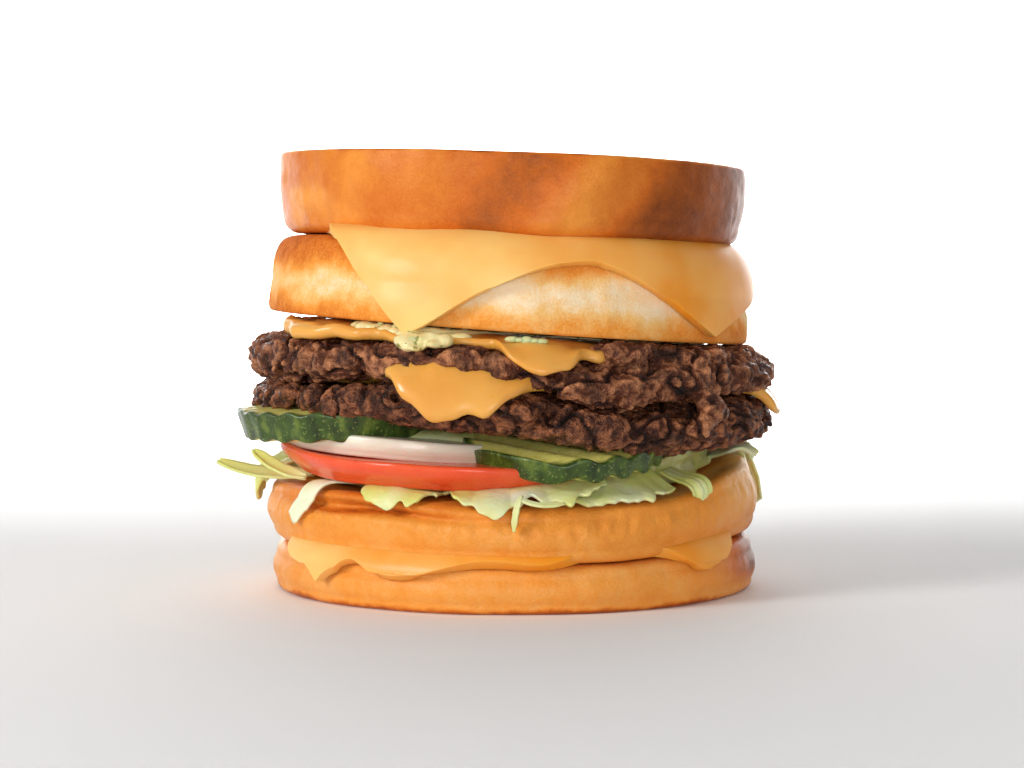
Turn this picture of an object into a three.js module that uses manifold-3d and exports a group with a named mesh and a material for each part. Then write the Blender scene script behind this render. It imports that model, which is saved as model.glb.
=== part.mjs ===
// A double cheeseburger whose two buns are grilled cheese sandwiches, in millimetres.
//
// +Z is up, -Y is the front of the burger and +X its right. The origin is the centre of the flat
// base. A bearing is an angle in degrees round the stack: 0 at the front, 90 on the right, 180 at
// the back and -90 on the left. Each layer lies between two levels, which are functions of x and y,
// because the stack leans: the buns sink to the right and the patties with them.

import * as THREE from "three";
import { ImprovedNoise } from "three/addons/math/ImprovedNoise.js";
import { mergeVertices } from "three/addons/utils/BufferGeometryUtils.js";
import Module from "manifold-3d";

const wasm = await Module();
wasm.setup();

// ---- Driving dimensions ---------------------------------------------------------------------

const GAP = 0.3; // kept between neighbours
const BUN_RADIUS = 53; // a four-inch bun, pressed on the griddle
const PATTY_RADIUS = 57;
const CHEESE_THICKNESS = 2.4;
const MELT_THICKNESS = 2.2;
const LEAF_THICKNESS = 1.0;

const { degToRad, radToDeg, lerp, smoothstep, clamp } = THREE.MathUtils;
const level = (middle, rise = 0) => (x) => middle + rise * x;

const LEVELS = {
  base: level(0),
  lowerSeam: (x) => 10 + 2 * smoothstep(x, 20, 50) + 0.8 * smoothstep(-x, 25, 50),
  // The filling presses a bed into the lower sandwich, and the crust stands up round it on the right.
  bed: (x) => 22.8 + 5.8 * smoothstep(x, 30, 54) + 0.8 * smoothstep(-x, 36, 54),
  pattyFoot: level(35.3, -0.057),
  pattySeam: level(44.5, -0.03),
  pattyTop: level(53, -0.06),
  upperBunFoot: level(56.6, -0.072),
  upperSeam: level(75.6, -0.028),
  top: level(92.6, -0.036),
};

const COLOURS = {
  crust: 0xe0872f,
  paleCrust: 0xe9b878,
  cheese: 0xfcb74f,
  meltedCheese: 0xf0a53c,
  beef: 0x4a2a20,
  sauce: 0xe6dca6,
  pickle: 0x4a6428,
  onion: 0xece4d4,
  tomato: 0xe0501f,
  lettuce: 0xc9d28a,
};

// ---- Small tools ----------------------------------------------------------------------------

const perlin = new ImprovedNoise();
const noise = (x, y, z, scale) => perlin.noise(x / scale + 9.3, y / scale + 4.7, z / scale + 2.1);

// From 0 far from a bearing to 1 on it. Angles are in degrees.
function hump(bearing, centre, width) {
  const apart = ((bearing - centre + 540) % 360) - 180;
  return Math.exp(-((apart / width) ** 2));
}

// The same, but with a broad flat top.
function lobe(bearing, centre, width) {
  const apart = ((bearing - centre + 540) % 360) - 180;
  return Math.exp(-((apart / width) ** 4));
}

// The point at a distance from the axis on a bearing in degrees.
function onBearing(bearing, distance, z) {
  const angle = degToRad(bearing);
  return new THREE.Vector3(distance * Math.sin(angle), -distance * Math.cos(angle), z);
}

function toSolid(geometry) {
  geometry.deleteAttribute("normal");
  geometry.deleteAttribute("uv");
  const merged = mergeVertices(geometry, 1e-4);
  const index = merged.index.array;
  const faces = [];
  for (let i = 0; i < index.length; i += 3) {
    const [a, b, c] = index.slice(i, i + 3);
    if (a !== b && b !== c && c !== a) faces.push(a, b, c);
  }
  const build = (order) =>
    new wasm.Manifold(
      new wasm.Mesh({
        numProp: 3,
        vertProperties: merged.attributes.position.array,
        triVerts: Uint32Array.from(order),
      }),
    );
  const solid = build(faces);
  return solid.volume() > 0 ? solid : build(faces.reverse());
}

// Turns a profile of (r, height) round the axis and hands each vertex to place(r, height, bearing).
function latheSolid(profile, around, place) {
  const geometry = new THREE.LatheGeometry(profile, around);
  const position = geometry.getAttribute("position");
  for (let i = 0; i < position.count; i++) {
    const [x, height, z] = [position.getX(i), position.getY(i), position.getZ(i)];
    const step = Math.round((Math.atan2(x, z) / (2 * Math.PI)) * around);
    const bearing = (360 * ((step + around) % around)) / around;
    position.setXYZ(i, ...place(Math.hypot(x, z), height, bearing));
  }
  return toSolid(geometry);
}

// A thin solid whose two faces share one grid. place(u, v, side) takes u and v from 0 to 1, and a
// side of 0 for the lower face and 1 for the upper.
function sheetSolid(columns, rows, place) {
  const plane = new THREE.PlaneGeometry(1, 1, columns, rows);
  const flat = plane.getAttribute("position");
  const points = [1, 0].flatMap((side) =>
    Array.from({ length: flat.count }, (_, i) => place(flat.getX(i) + 0.5, flat.getY(i) + 0.5, side)),
  );
  const over = Array.from(plane.index.array);
  const under = over.map((i) => i + flat.count).reverse();
  const at = (column, row) => row * (columns + 1) + column;
  const border = [
    ...Array.from({ length: columns }, (_, i) => at(i, 0)),
    ...Array.from({ length: rows }, (_, i) => at(columns, i)),
    ...Array.from({ length: columns }, (_, i) => at(columns - i, rows)),
    ...Array.from({ length: rows }, (_, i) => at(0, rows - i)),
  ];
  const rim = border.flatMap((a, i) => {
    const b = border[(i + 1) % border.length];
    return [a, b, b + flat.count, a, b + flat.count, a + flat.count];
  });
  const geometry = new THREE.BufferGeometry().setFromPoints(points);
  geometry.setIndex([...over, ...under, ...rim]);
  return toSolid(geometry);
}

// The solid without loose scraps, and what is left of it when others are cut from it.
const largest = (solid) => solid.decompose().sort((a, b) => b.volume() - a.volume())[0];
const cutBy = (solid, ...others) => largest(others.reduce((rest, other) => rest.subtract(other), solid));

const group = new THREE.Group();

// Facets that bend less than this are merged.
const FINE = 0.12;
const MEDIUM = 0.25;
const ROUGH = 0.5;
const COARSE = 0.6;

function add(name, solid, colour, fineness = MEDIUM) {
  const mesh = largest(solid.simplify(fineness)).getMesh();
  const geometry = new THREE.BufferGeometry();
  geometry.setAttribute("position", new THREE.BufferAttribute(mesh.vertProperties, 3));
  geometry.setIndex(new THREE.BufferAttribute(mesh.triVerts, 1));
  geometry.computeVertexNormals();
  const material = new THREE.MeshStandardMaterial({ color: colour, roughness: 0.5, metalness: 0 });
  const node = new THREE.Mesh(geometry, material);
  node.name = name;
  group.add(node);
}

// ---- Round layers: bun slices and patties ---------------------------------------------------

// The path down the outside of a layer, from the middle of its top: the point, and the direction
// that faces out, at a distance along the skin. Below the hem it runs straight on.
function skinOf(profile, hem) {
  const points = profile.getPoints(8).reverse().filter((point) => point.y >= hem);
  const travelled = points.map(() => 0);
  for (let i = 1; i < points.length; i++)
    travelled[i] = travelled[i - 1] + points[i].distanceTo(points[i - 1]);
  return (distance) => {
    let i = 1;
    while (i < points.length - 1 && travelled[i] < distance) i++;
    const [from, to] = [points[i - 1], points[i]];
    const along = to.clone().sub(from).normalize();
    const point = from.clone().addScaledVector(along, distance - travelled[i - 1]);
    return { r: point.x, height: point.y, outR: -along.y, outHeight: along.x };
  };
}

// A layer between two levels. Its profile is drawn in its own upright frame, and settle() carries
// that frame to the leaning stack, through the layer's own outline and sag.
function layer({
  profile,
  thickness,
  hem = 0,
  low,
  high,
  centre = [0, 0],
  outline = () => 1,
  sag = () => 0,
}) {
  const settle = (r, height, bearing) => {
    const share = height / thickness;
    const point = onBearing(bearing, r * outline(bearing, share, r), 0);
    point.x += centre[0];
    point.y += centre[1];
    point.z = lerp(low(point.x, point.y), high(point.x, point.y), share) - sag(bearing, r, share);
    return point;
  };
  const skin = skinOf(profile, hem);
  const onSkin = (bearing, distance, lift) => {
    const { r, height, outR, outHeight } = skin(distance);
    return settle(r + outR * lift, height + outHeight * lift, bearing);
  };
  return { profile, outline, settle, onSkin };
}

// A slice's side: foot and shoulder are how far each edge is rounded, as [inwards, upwards], and
// rings are radii where its upper face bends.
function sliceProfile({
  radius,
  thickness,
  foot,
  shoulder,
  topRadius = radius,
  belly = radius,
  rings = [],
}) {
  const profile = new THREE.Path();
  profile.moveTo(0, 0);
  profile.lineTo(radius - foot[0], 0);
  profile.quadraticCurveTo(radius, 0, radius, foot[1]);
  const shoulderFoot = thickness - shoulder[1];
  profile.quadraticCurveTo(belly, (foot[1] + shoulderFoot) / 2, topRadius, shoulderFoot);
  profile.quadraticCurveTo(topRadius, thickness, topRadius - shoulder[0], thickness);
  for (const ring of [...rings, 0]) profile.lineTo(ring, thickness);
  return profile;
}

const bunSolid = (slice) => latheSolid(slice.profile.getPoints(3), 40, (...at) => slice.settle(...at));

// ---- The four bun slices --------------------------------------------------------------------

const ripple = (bearing, share) =>
  0.008 * Math.sin(degToRad(3 * bearing + 40)) + 0.006 * Math.sin(degToRad(5 * bearing + 200 * share));

const baseSlice = layer({
  profile: sliceProfile({
    radius: BUN_RADIUS - 1,
    thickness: 10,
    foot: [2.2, 2],
    shoulder: [3.2, 2.8],
    belly: BUN_RADIUS + 0.8,
  }),
  thickness: 10,
  hem: 2,
  low: LEVELS.base,
  high: (x, y) => LEVELS.lowerSeam(x, y) - GAP / 2,
  outline: (bearing, share) => 1 + ripple(bearing, 0) * 0.4 * share,
});

// The crust of this slice is creased under the filling on its left.
const CREASE = { bearing: -38, width: 24, share: 0.78, depth: 0.04, reach: 0.09 };
// Its rim dips under the front leaf and stands up as a lip above the crease.
const bedSag = (bearing) => 1.6 * hump(bearing, 4, 34) - 1.2 * hump(bearing, -42, 22);
const bedSlice = layer({
  profile: sliceProfile({
    radius: BUN_RADIUS - 0.5,
    thickness: 14,
    foot: [3.6, 3.2],
    shoulder: [3.2, 3],
    belly: BUN_RADIUS + 1.6,
    rings: [42, 34],
  }),
  thickness: 14,
  low: (x, y) => LEVELS.lowerSeam(x, y) + GAP / 2,
  high: LEVELS.bed,
  outline: (bearing, share) =>
    1 +
    ripple(bearing, share) -
    CREASE.depth *
      hump(bearing, CREASE.bearing, CREASE.width) *
      Math.exp(-(((share - CREASE.share) / CREASE.reach) ** 2)),
  sag: (bearing, r, share) => bedSag(bearing) * smoothstep(r, 38, 54) * share,
});

const crownSlice = layer({
  profile: sliceProfile({
    radius: BUN_RADIUS - 0.6,
    thickness: 18,
    foot: [1, 1],
    shoulder: [12, 10],
    topRadius: BUN_RADIUS - 1.6,
  }),
  thickness: 18,
  hem: 1,
  low: LEVELS.upperBunFoot,
  high: (x, y) => LEVELS.upperSeam(x, y) - GAP / 2,
  centre: [-1.4, 0],
  // Its shoulder is squarer on the left, where no cheese hangs over it.
  outline: (bearing, share) =>
    1 + ripple(bearing, 0.3) + 0.1 * hump(bearing, -68, 34) * clamp((share - 0.44) / 0.56, 0, 1) ** 4,
});

// The top slice lies upside down: its cut face is up, with a sharp edge, and its side has a hollow
// and a slanting ridge next to the front.
const HOLLOW = { bearing: -8, width: 11, depth: 0.038, slant: 6 };
const RIDGE = { bearing: 14, width: 11, height: 0.026, slant: 16 };
const topSlice = layer({
  profile: sliceProfile({
    radius: BUN_RADIUS - 3.2,
    thickness: 17,
    foot: [3.5, 4],
    shoulder: [0.8, 0.8],
    topRadius: BUN_RADIUS - 2.4,
    belly: BUN_RADIUS - 1.8,
  }),
  thickness: 17,
  low: (x, y) => LEVELS.upperSeam(x, y) + GAP / 2,
  high: LEVELS.top,
  outline: (bearing, share) =>
    1 +
    0.7 * ripple(bearing, 0.8) -
    HOLLOW.depth * hump(bearing - HOLLOW.slant * (share - 0.5), HOLLOW.bearing, HOLLOW.width) +
    RIDGE.height * hump(bearing - RIDGE.slant * (share - 0.5), RIDGE.bearing, RIDGE.width),
});

// ---- The two patties ------------------------------------------------------------------------

const PATTY_THICKNESS = 9;

function pattyProfile(grow) {
  const [radius, edge] = [PATTY_RADIUS + grow, PATTY_THICKNESS * 0.45];
  const profile = new THREE.Path();
  profile.moveTo(0, -grow);
  profile.lineTo(radius - 16, -grow);
  profile.lineTo(radius - edge, -grow);
  profile.quadraticCurveTo(radius, -grow, radius, PATTY_THICKNESS / 2);
  profile.quadraticCurveTo(radius, PATTY_THICKNESS + grow, radius - edge, PATTY_THICKNESS + grow);
  profile.lineTo(radius - 16, PATTY_THICKNESS + grow);
  profile.lineTo(0, PATTY_THICKNESS + grow);
  return profile;
}

const pattyShape = (low, high, outline, sag, grow = 0) =>
  layer({ profile: pattyProfile(grow), thickness: PATTY_THICKNESS, low, high, outline, sag });

// Ground beef pressed out on the griddle: its rim is torn into crags, which stay clear of the seam
// between the patties. `seam` is 1 when that is the patty's upper face and -1 when it is the lower.
function pattySolid(patty, seed, seam) {
  return latheSolid(patty.profile.getPoints(3), 40, (r, height, bearing) => {
    const at = patty.settle(r, height, bearing);
    const rim = smoothstep(r, PATTY_RADIUS - 20, PATTY_RADIUS - 4);
    const rough = 2.8 * noise(at.x, at.y, at.z + seed, 6.5) + 1.6 * noise(at.x, at.y, at.z - seed, 3.1);
    const up = (2 * height) / PATTY_THICKNESS - 1;
    const rise = 0.45 * up * rough;
    const out = onBearing(bearing, rough * Math.sqrt(Math.max(0, 1 - 0.8 * up * up)), 0);
    out.z = up * seam > 0 ? -seam * Math.abs(rise) : rise;
    return at.addScaledVector(out, rim);
  });
}

// The room round a patty, crags and all.
const CRAG_ROOM = 2;
const pattyRoom = (patty) => latheSolid(patty.profile.getPoints(2), 36, (...at) => patty.settle(...at));

// Both patties follow one seam. The upper patty's rim folds down with it on the front right. The
// seam also sinks on the left and rises in front, over the cheese that melted out.
const seamFold = (bearing, r) =>
  (5 * hump(bearing, 22, 13) + 2.2 * hump(bearing, 42, 16)) * smoothstep(r, 46, 58);
const seamShift = (bearing, r) =>
  (3.2 * hump(bearing, -90, 30) - 3.8 * hump(bearing, -17, 19)) * smoothstep(r, 40, 57);
const lowerDroop = (bearing, r) =>
  (2.6 * hump(bearing, 32, 36) - 1.2 * hump(bearing, -2, 16) - 2 * hump(bearing, -48, 30)) *
  smoothstep(r, 40, 56);
const lowerSag = (bearing, r, share) =>
  lerp(lowerDroop(bearing, r), seamFold(bearing, r) + seamShift(bearing, r), share);
const upperSag = (bearing, r, share) =>
  seamFold(bearing, r) * (1 - 0.25 * share) + seamShift(bearing, r) * (1 - share);
const lowerOutline = (bearing) =>
  0.985 + 0.022 * noise(bearing, 0, 11, 31) - 0.03 * hump(bearing, 30, 20);
const upperOutline = (bearing) =>
  0.985 + 0.03 * noise(bearing, 5, 3, 27) + 0.012 * hump(bearing, 27, 22);

const lowerPatty = (grow) =>
  pattyShape(LEVELS.pattyFoot, (x, y) => LEVELS.pattySeam(x, y) - GAP / 2, lowerOutline, lowerSag, grow);
const upperPatty = (grow) =>
  pattyShape((x, y) => LEVELS.pattySeam(x, y) + GAP / 2, LEVELS.pattyTop, upperOutline, upperSag, grow);

// ---- Cheese ---------------------------------------------------------------------------------

// A square slice laid on a bun slice. Inside the rim it follows the bread, and past the rim each
// corner hangs as a curtain, which swing(bearing) moves round the stack. It bites into the bread by
// `bite` where the next slice presses on it, and flow(bearing) is how far its softened edge has run
// out between the corners.
const CHEESE_CELLS = 13;
function cheeseSquare({ on, side, bow, rim, turn, centre, bite, stretch, flow, swing, grow = 0 }) {
  const half = side / 2 + grow;
  const turned = (x, y) => new THREE.Vector2(x, y).rotateAround(new THREE.Vector2(), degToRad(turn));
  const shift = new THREE.Vector2(...centre);
  const bearingOf = (p) => radToDeg(Math.atan2(p.x, -p.y));
  // Grid lines crowd towards the edges, where the slice bends.
  const spread = (t) => Math.sin(1.4 * (2 * t - 1)) / Math.sin(1.4);
  return sheetSolid(CHEESE_CELLS, CHEESE_CELLS, (u, v, upper) => {
    const flat = [spread(u), spread(v)];
    const bowed = flat.map((t, i) => t * (half + bow * (1 - flat[1 - i] ** 2)));
    const point = turned(...bowed).add(shift);
    let [distance, bearing] = [point.length(), bearingOf(point)];
    if (distance > rim) {
      const corner = turned(...flat.map((t) => (t < 0 ? -half : half))).add(shift).normalize();
      const across = point.cross(corner);
      const hang = point.dot(corner) - Math.sqrt(rim * rim - across * across);
      const turnTo = bearingOf(corner) - radToDeg(Math.asin(across / rim)) - bearing;
      const share = smoothstep(1 - Math.abs(across) / distance, 0.29, 0.95);
      bearing += share * (((turnTo + 540) % 360) - 180);
      distance = rim + lerp(distance - rim, hang, share) * stretch(bearing);
    }
    distance += flow(bearing) * smoothstep(Math.max(...flat.map(Math.abs)), 0.3, 1);
    bearing += swing(bearing) * smoothstep(distance, rim, rim + 10);
    const lift = lerp(-bite, GAP, smoothstep(distance, rim - 14, rim + 1));
    const along = distance / on.outline(bearing, 1);
    return on.onSkin(bearing, along, lift + (upper ? CHEESE_THICKNESS + grow : -grow));
  });
}

// A slice that melted over a patty: no corners are left, only lobes. reach(bearing) is how far
// along the patty's skin it ran.
const MELT_RINGS = [0, 0.4, 0.75, 0.93, 1];
function meltedCheese({ on, reach, grow = 0 }) {
  const under = MELT_RINGS.map((share) => new THREE.Vector2(share, 0));
  const over = MELT_RINGS.map((share) => new THREE.Vector2(share, 1)).reverse();
  return latheSolid([...under, ...over], 80, (share, side, bearing) => {
    const distance = share * (reach(bearing) + grow);
    const thin = 1 - 0.45 * smoothstep(share, 0.8, 1);
    const lift = GAP + smoothstep(distance, 56, 60);
    return on.onSkin(bearing, distance, lift + (side ? MELT_THICKNESS * thin + grow : -grow));
  });
}

const lowerCheese = (grow) =>
  cheeseSquare({
    on: baseSlice,
    side: 81,
    bow: 4,
    rim: 48,
    turn: 0,
    centre: [-0.5, 2],
    bite: 1.2,
    stretch: (bearing) =>
      1 -
      0.35 * Math.abs(Math.sin(degToRad(bearing / 2))) -
      0.35 * hump(bearing, 47, 20) +
      0.12 * hump(bearing, -47, 10),
    flow: (bearing) =>
      8.6 * lobe(bearing, -8, 26) +
      1.2 * hump(bearing, -29, 8) -
      hump(bearing, -39, 5) +
      2.6 * hump(bearing, -60, 7) +
      2 * lobe(bearing, 30, 32) +
      1.6 * hump(bearing, 14, 16) +
      2.2 * hump(bearing, 57, 12),
    swing: () => 0,
    grow,
  });
// The corner at the front has stretched as it melted, and the one on the right has slid forwards.
const upperCheese = (grow) =>
  cheeseSquare({
    on: crownSlice,
    side: 84,
    bow: 5,
    rim: 42,
    turn: 17,
    centre: [5.2, -4.3],
    bite: 1.2,
    stretch: (bearing) =>
      1 + 0.36 * hump(bearing, -22, 20) - 0.1 * hump(bearing, 62, 20) - 0.4 * hump(bearing, -118, 30),
    flow: () => 0,
    swing: (bearing) => -9 * hump(bearing, 60, 18),
    grow,
  });

const lowerMelt = (grow) =>
  meltedCheese({
    on: lowerPatty(0),
    reach: (bearing) =>
      46 +
      10 * lobe(bearing, -13, 22) +
      6.5 * hump(bearing, -13, 12) +
      15 * hump(bearing, 78, 14) +
      13 * hump(bearing, 168, 16) +
      11 * hump(bearing, -128, 16),
    grow,
  });
const upperMelt = (grow) =>
  meltedCheese({
    on: upperPatty(0),
    reach: (bearing) =>
      48 +
      7 * lobe(bearing, -30, 40) +
      7.5 * lobe(bearing, 5.5, 8) +
      3.5 * hump(bearing, 18, 7) +
      2.4 * hump(bearing, -54, 12) -
      5 * lobe(bearing, 50, 24) +
      8 * hump(bearing, 98, 14) +
      10 * hump(bearing, 186, 17),
    grow,
  });

// Dressing that the upper bun squeezes out over the melted cheese.
const SAUCE_LIFT = MELT_THICKNESS + 3 * GAP;
const sauce = latheSolid(
  [[0, 0], [0.6, 0], [1, 0], [1, 1], [0.6, 1], [0, 1]].map((p) => new THREE.Vector2(...p)),
  32,
  (share, upper, bearing) => {
    const distance = share * (43 + 2 * noise(bearing, 1, 8, 25) + 11 * hump(bearing, -19, 10));
    const at = upperPatty(0).onSkin(bearing, distance, SAUCE_LIFT);
    const room = LEVELS.upperBunFoot(at.x, at.y) - GAP - at.z;
    return at.setZ(at.z + upper * clamp(room, 0.25, 1.8));
  },
);

// ---- Tomato, onion and pickles --------------------------------------------------------------

// A round that follows a circle from outside when it is the room for a slice.
const roundSides = (room) => (room ? 18 : 32);
const roundReach = (room) => (room ? 1 / Math.cos(Math.PI / roundSides(room)) : 1);

// A round cut slice: rise tilts it along x, its foot is narrower by taper, and its left end curls
// up. With room it is the room that its neighbours leave for it.
function cutSlice({ centre, radius, z, thickness, rise, taper, curl }, room = 0) {
  const half = thickness / 2 + room;
  const profile = [
    [0, -half],
    [0.7 * radius, -half],
    [radius - taper - 0.8, -half],
    [radius - taper, -0.7 * half],
    [radius, 0.6 * half],
    [radius - 0.8, half],
    [0.7 * radius, half],
    [0, half],
  ].map(([r, height]) => new THREE.Vector2(r ? (r + room) * roundReach(room) : 0, height));
  return latheSolid(profile, roundSides(room), (r, height, bearing) => {
    const at = onBearing(bearing, r * (1 + 0.012 * Math.sin(degToRad(3 * bearing))), z + height);
    at.z += rise * at.x + curl * Math.max(0, -at.x / radius - 0.55) ** 2;
    return at.add(new THREE.Vector3(...centre, 0));
  });
}

// A crinkle-cut pickle: a slab whose faces are waves, trimmed to a round whose skin leans in below.
// `worn` is the share of the waves that is pressed out. Without them all it is the plain room that
// its neighbours leave for it.
const CRINKLE = { pitch: 5.6, depth: 0.6 };
const SKIN_LEAN = 0.3; // inwards for each millimetre down
function pickleSlice({ centre, radius, z, thickness, rise, lean, turn, worn }, room = 0) {
  const depth = room ? 0 : CRINKLE.depth * (1 - worn);
  const [reach, half] = [radius + room + 3, thickness / 2 + room + CRINKLE.depth - depth];
  const steps = room ? 1 : Math.round((2 * reach) / (CRINKLE.pitch / 3));
  const wave = (x) => depth * Math.sin((2 * Math.PI * x) / CRINKLE.pitch);
  const across = Array.from({ length: steps + 1 }, (_, i) => lerp(-reach, reach, i / steps));
  const outline = [
    ...across.map((x) => new THREE.Vector2(x, wave(x) - half)),
    ...across.map((x) => new THREE.Vector2(x, wave(x) + half)).reverse(),
  ];
  const length = 2 * reach;
  const slab = new THREE.ExtrudeGeometry(new THREE.Shape(outline), {
    depth: length,
    bevelEnabled: false,
  });
  slab.rotateX(Math.PI / 2).translate(0, reach, 0);
  const radii = [1, -3].map((t) => (radius + room + SKIN_LEAN * thickness * t) * roundReach(room));
  const round = new THREE.CylinderGeometry(...radii, 4 * thickness, roundSides(room));
  round.rotateX(Math.PI / 2).translate(0, 0, -thickness);
  const [x, y] = centre;
  const tilt = new THREE.Matrix4().set(1, 0, 0, x, 0, 1, 0, y, rise, lean, 1, z, 0, 0, 0, 1);
  const turned = new THREE.Matrix4().makeRotationZ(degToRad(turn));
  const place = (geometry) => toSolid(geometry.applyMatrix4(turned).applyMatrix4(tilt));
  return place(slab).intersect(place(round));
}

const TOMATO = {
  centre: [-12.5, -14],
  radius: 37,
  z: 27.1,
  thickness: 5.4,
  rise: -0.045,
  taper: 4.5,
  curl: 8,
};
const ONION = {
  centre: [-22, -16],
  radius: 27.5,
  z: 32.3,
  thickness: 4.4,
  rise: -0.085,
  taper: 0.8,
  curl: 0,
};
const LEFT_PICKLE = {
  centre: [-36.5, -20],
  radius: 22,
  z: 37.4,
  thickness: 5.8,
  rise: 0.03,
  lean: 0.02,
  turn: -45,
  worn: 0.45,
};
const RIGHT_PICKLE = {
  centre: [11, -31],
  radius: 21.5,
  z: 32.9,
  thickness: 4,
  rise: 0.01,
  lean: 0.2,
  turn: 55,
  worn: 0,
};

// ---- Lettuce --------------------------------------------------------------------------------

// A torn leaf that lies on the lower sandwich and hangs over its edge. It spans `width` degrees and
// runs along the bread's skin from inner to outer. It stands off the bread by `stand` at its inner
// edge, left end first, with an arch between, and by `low` at its hem. The hem is a line of points
// (u, share of the way from inner to outer).
function leaf({
  bearing,
  width,
  inner,
  outer,
  stand,
  hem,
  arch = 0,
  low = [1, 1],
  ruffle = 0.4,
  slant = 0,
  taper = 0,
  size = [12, 4],
}) {
  return sheetSolid(...size, (u, v, upper) => {
    const next = Math.max(1, hem.findIndex((point) => point[0] >= u));
    const [from, to] = [hem[next - 1], hem[next]];
    const reach = lerp(from[1], to[1], (u - from[0]) / (to[0] - from[0]));
    const wave = Math.abs(ruffle * Math.sin(3 * Math.PI * u + bearing) * v);
    const inside = lerp(...stand, u) + arch * Math.sin(Math.PI * u);
    return bedSlice.onSkin(
      bearing + (u - 0.5) * width * (1 - taper * v * v) + slant * v,
      inner + (outer - inner) * v * reach,
      lerp(inside, lerp(...low, u), v) + wave + (upper ? LEAF_THICKNESS : 0),
    );
  });
}

// A shred that follows a curve, with its rib curled up along the middle.
function shred({ points, width, curl = 0.8, steps = 9 }) {
  const path = new THREE.QuadraticBezierCurve3(...points.map((p) => new THREE.Vector3(...p)));
  return sheetSolid(steps, 2, (u, v, side) => {
    const across = path.getTangent(u).cross(new THREE.Vector3(0, 0, 1)).normalize();
    const spread = (v - 0.5) * width * (1 - 0.75 * (2 * u - 1) ** 4);
    const at = path.getPoint(u).addScaledVector(across, spread);
    return at.setZ(at.z - curl * Math.cos(Math.PI * (v - 0.5)) + (side ? LEAF_THICKNESS : 0));
  });
}

const leaves = {
  lettuce_leaf_front: leaf({
    bearing: 3,
    width: 42,
    inner: 46,
    outer: 54,
    stand: [3, 5],
    low: [1, 3.2],
    hem: [[0, 0.1], [0.17, 0.75], [0.33, 1], [0.5, 0.6], [0.7, 0.75], [1, 0.1]],
    ruffle: 0.8,
  }),
  lettuce_leaf_front_left: leaf({
    bearing: -29,
    width: 21.5,
    inner: 47,
    outer: 54,
    stand: [1, 1],
    arch: 1.4,
    hem: [[0, 0.35], [0.3, 0.9], [0.5, 1], [0.8, 0.8], [1, 0.4]],
    size: [10, 4],
  }),
  lettuce_leaf_front_right: leaf({
    bearing: 26,
    width: 32,
    inner: 42,
    outer: 51.5,
    stand: [1.2, 6.5],
    hem: [[0, 0.75], [0.2, 1], [0.6, 1], [1, 0.75]],
    size: [10, 4],
  }),
  lettuce_strip_left: leaf({
    bearing: -50,
    width: 8,
    inner: 49.5,
    outer: 59,
    stand: [1.4, 1.4],
    hem: [[0, 0.75], [0.5, 1], [1, 0.8]],
    slant: -7,
    ruffle: 0.2,
    size: [4, 6],
  }),
  lettuce_shred_right: leaf({
    bearing: 45.5,
    width: 6,
    inner: 45,
    outer: 54.5,
    stand: [5, 5.5],
    hem: [[0, 0.8], [0.5, 1], [1, 0.8]],
    ruffle: 0.3,
    size: [4, 6],
  }),
  lettuce_shred_far_left: shred({
    points: [[-43, -12, 25.4], [-54, -13, 24], [-65, -9, 27.8]],
    width: 5,
  }),
  lettuce_shred_near_left: shred({
    points: [[-43.5, -27, 25.8], [-49, -26, 26.4], [-55, -22, 31]],
    width: 4,
  }),
};

// The rest of the lettuce is one shredded heap: a core that fills the layer between the bread and
// the lower patty, with the shreds that show at the sides and back fused to it.
const HEAP = { radius: 44, first: 113, shreds: 7, spread: 24 };
const heapLow = (x, y) => LEVELS.bed(x, y) + GAP;
const heapHigh = (x, y) => LEVELS.pattyFoot(x, y) - GAP;
const heapCore = latheSolid(
  [[0, 0], [0.75, 0], [0.95, 0.05], [1, 0.7], [0.8, 1], [0, 1]].map((p) => new THREE.Vector2(...p)),
  32,
  (share, height, bearing) => {
    const radius = HEAP.radius + 3 * noise(bearing, height, 2, 17) - 11 * hump(bearing, 8, 55);
    const at = onBearing(bearing, share * radius, 0);
    return at.setZ(lerp(heapLow(at.x, at.y), heapHigh(at.x, at.y), height));
  },
);
const heapShreds = Array.from({ length: HEAP.shreds }, (_, i) => {
  const chance = 0.5 + noise(i * 3.7, 1.3, 6.1, 2);
  const bearing = HEAP.first + i * HEAP.spread + 8 * chance;
  const room = heapHigh(onBearing(bearing, 50, 0).x, 0) - heapLow(onBearing(bearing, 50, 0).x, 0);
  return leaf({
    bearing,
    width: 12 + 12 * chance,
    inner: 39,
    outer: 54 + 9 * (1 - chance),
    stand: [0.4, 0.7].map((share) => 1 + share * chance * Math.max(0, room - 3)),
    low: [1.8, 1.8],
    hem: [[0, 0.7], [0.4, 1], [0.6, 0.8], [1, 0.6]],
    taper: 0.35,
    ruffle: 0.8,
    size: [6, 4],
  });
});

// ---- The stack ------------------------------------------------------------------------------

const loose = 3 * GAP; // round curved neighbours, whose facets stray a little
const roomFor = (curved) => curved(loose).simplify(0.1);
const lowerCheeseRoom = roomFor(lowerCheese);
const upperCheeseRoom = roomFor(upperCheese);
const lowerMeltRoom = roomFor(lowerMelt);
const upperMeltRoom = roomFor(upperMelt);

add("bun_slice_bottom", cutBy(bunSolid(baseSlice), lowerCheeseRoom), COLOURS.crust);
add("cheese_slice_lower", lowerCheese(0), COLOURS.cheese);
// The slice bends sharply at the rim, so the bread above it also clears a copy moved up and out.
const raisedCheese = lowerCheese(0).scale([1.008, 1.008, 1]).translate([0, 0, 2 * GAP]);
add("bun_slice_lower_middle", cutBy(bunSolid(bedSlice), lowerCheeseRoom, raisedCheese), COLOURS.crust);

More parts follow.
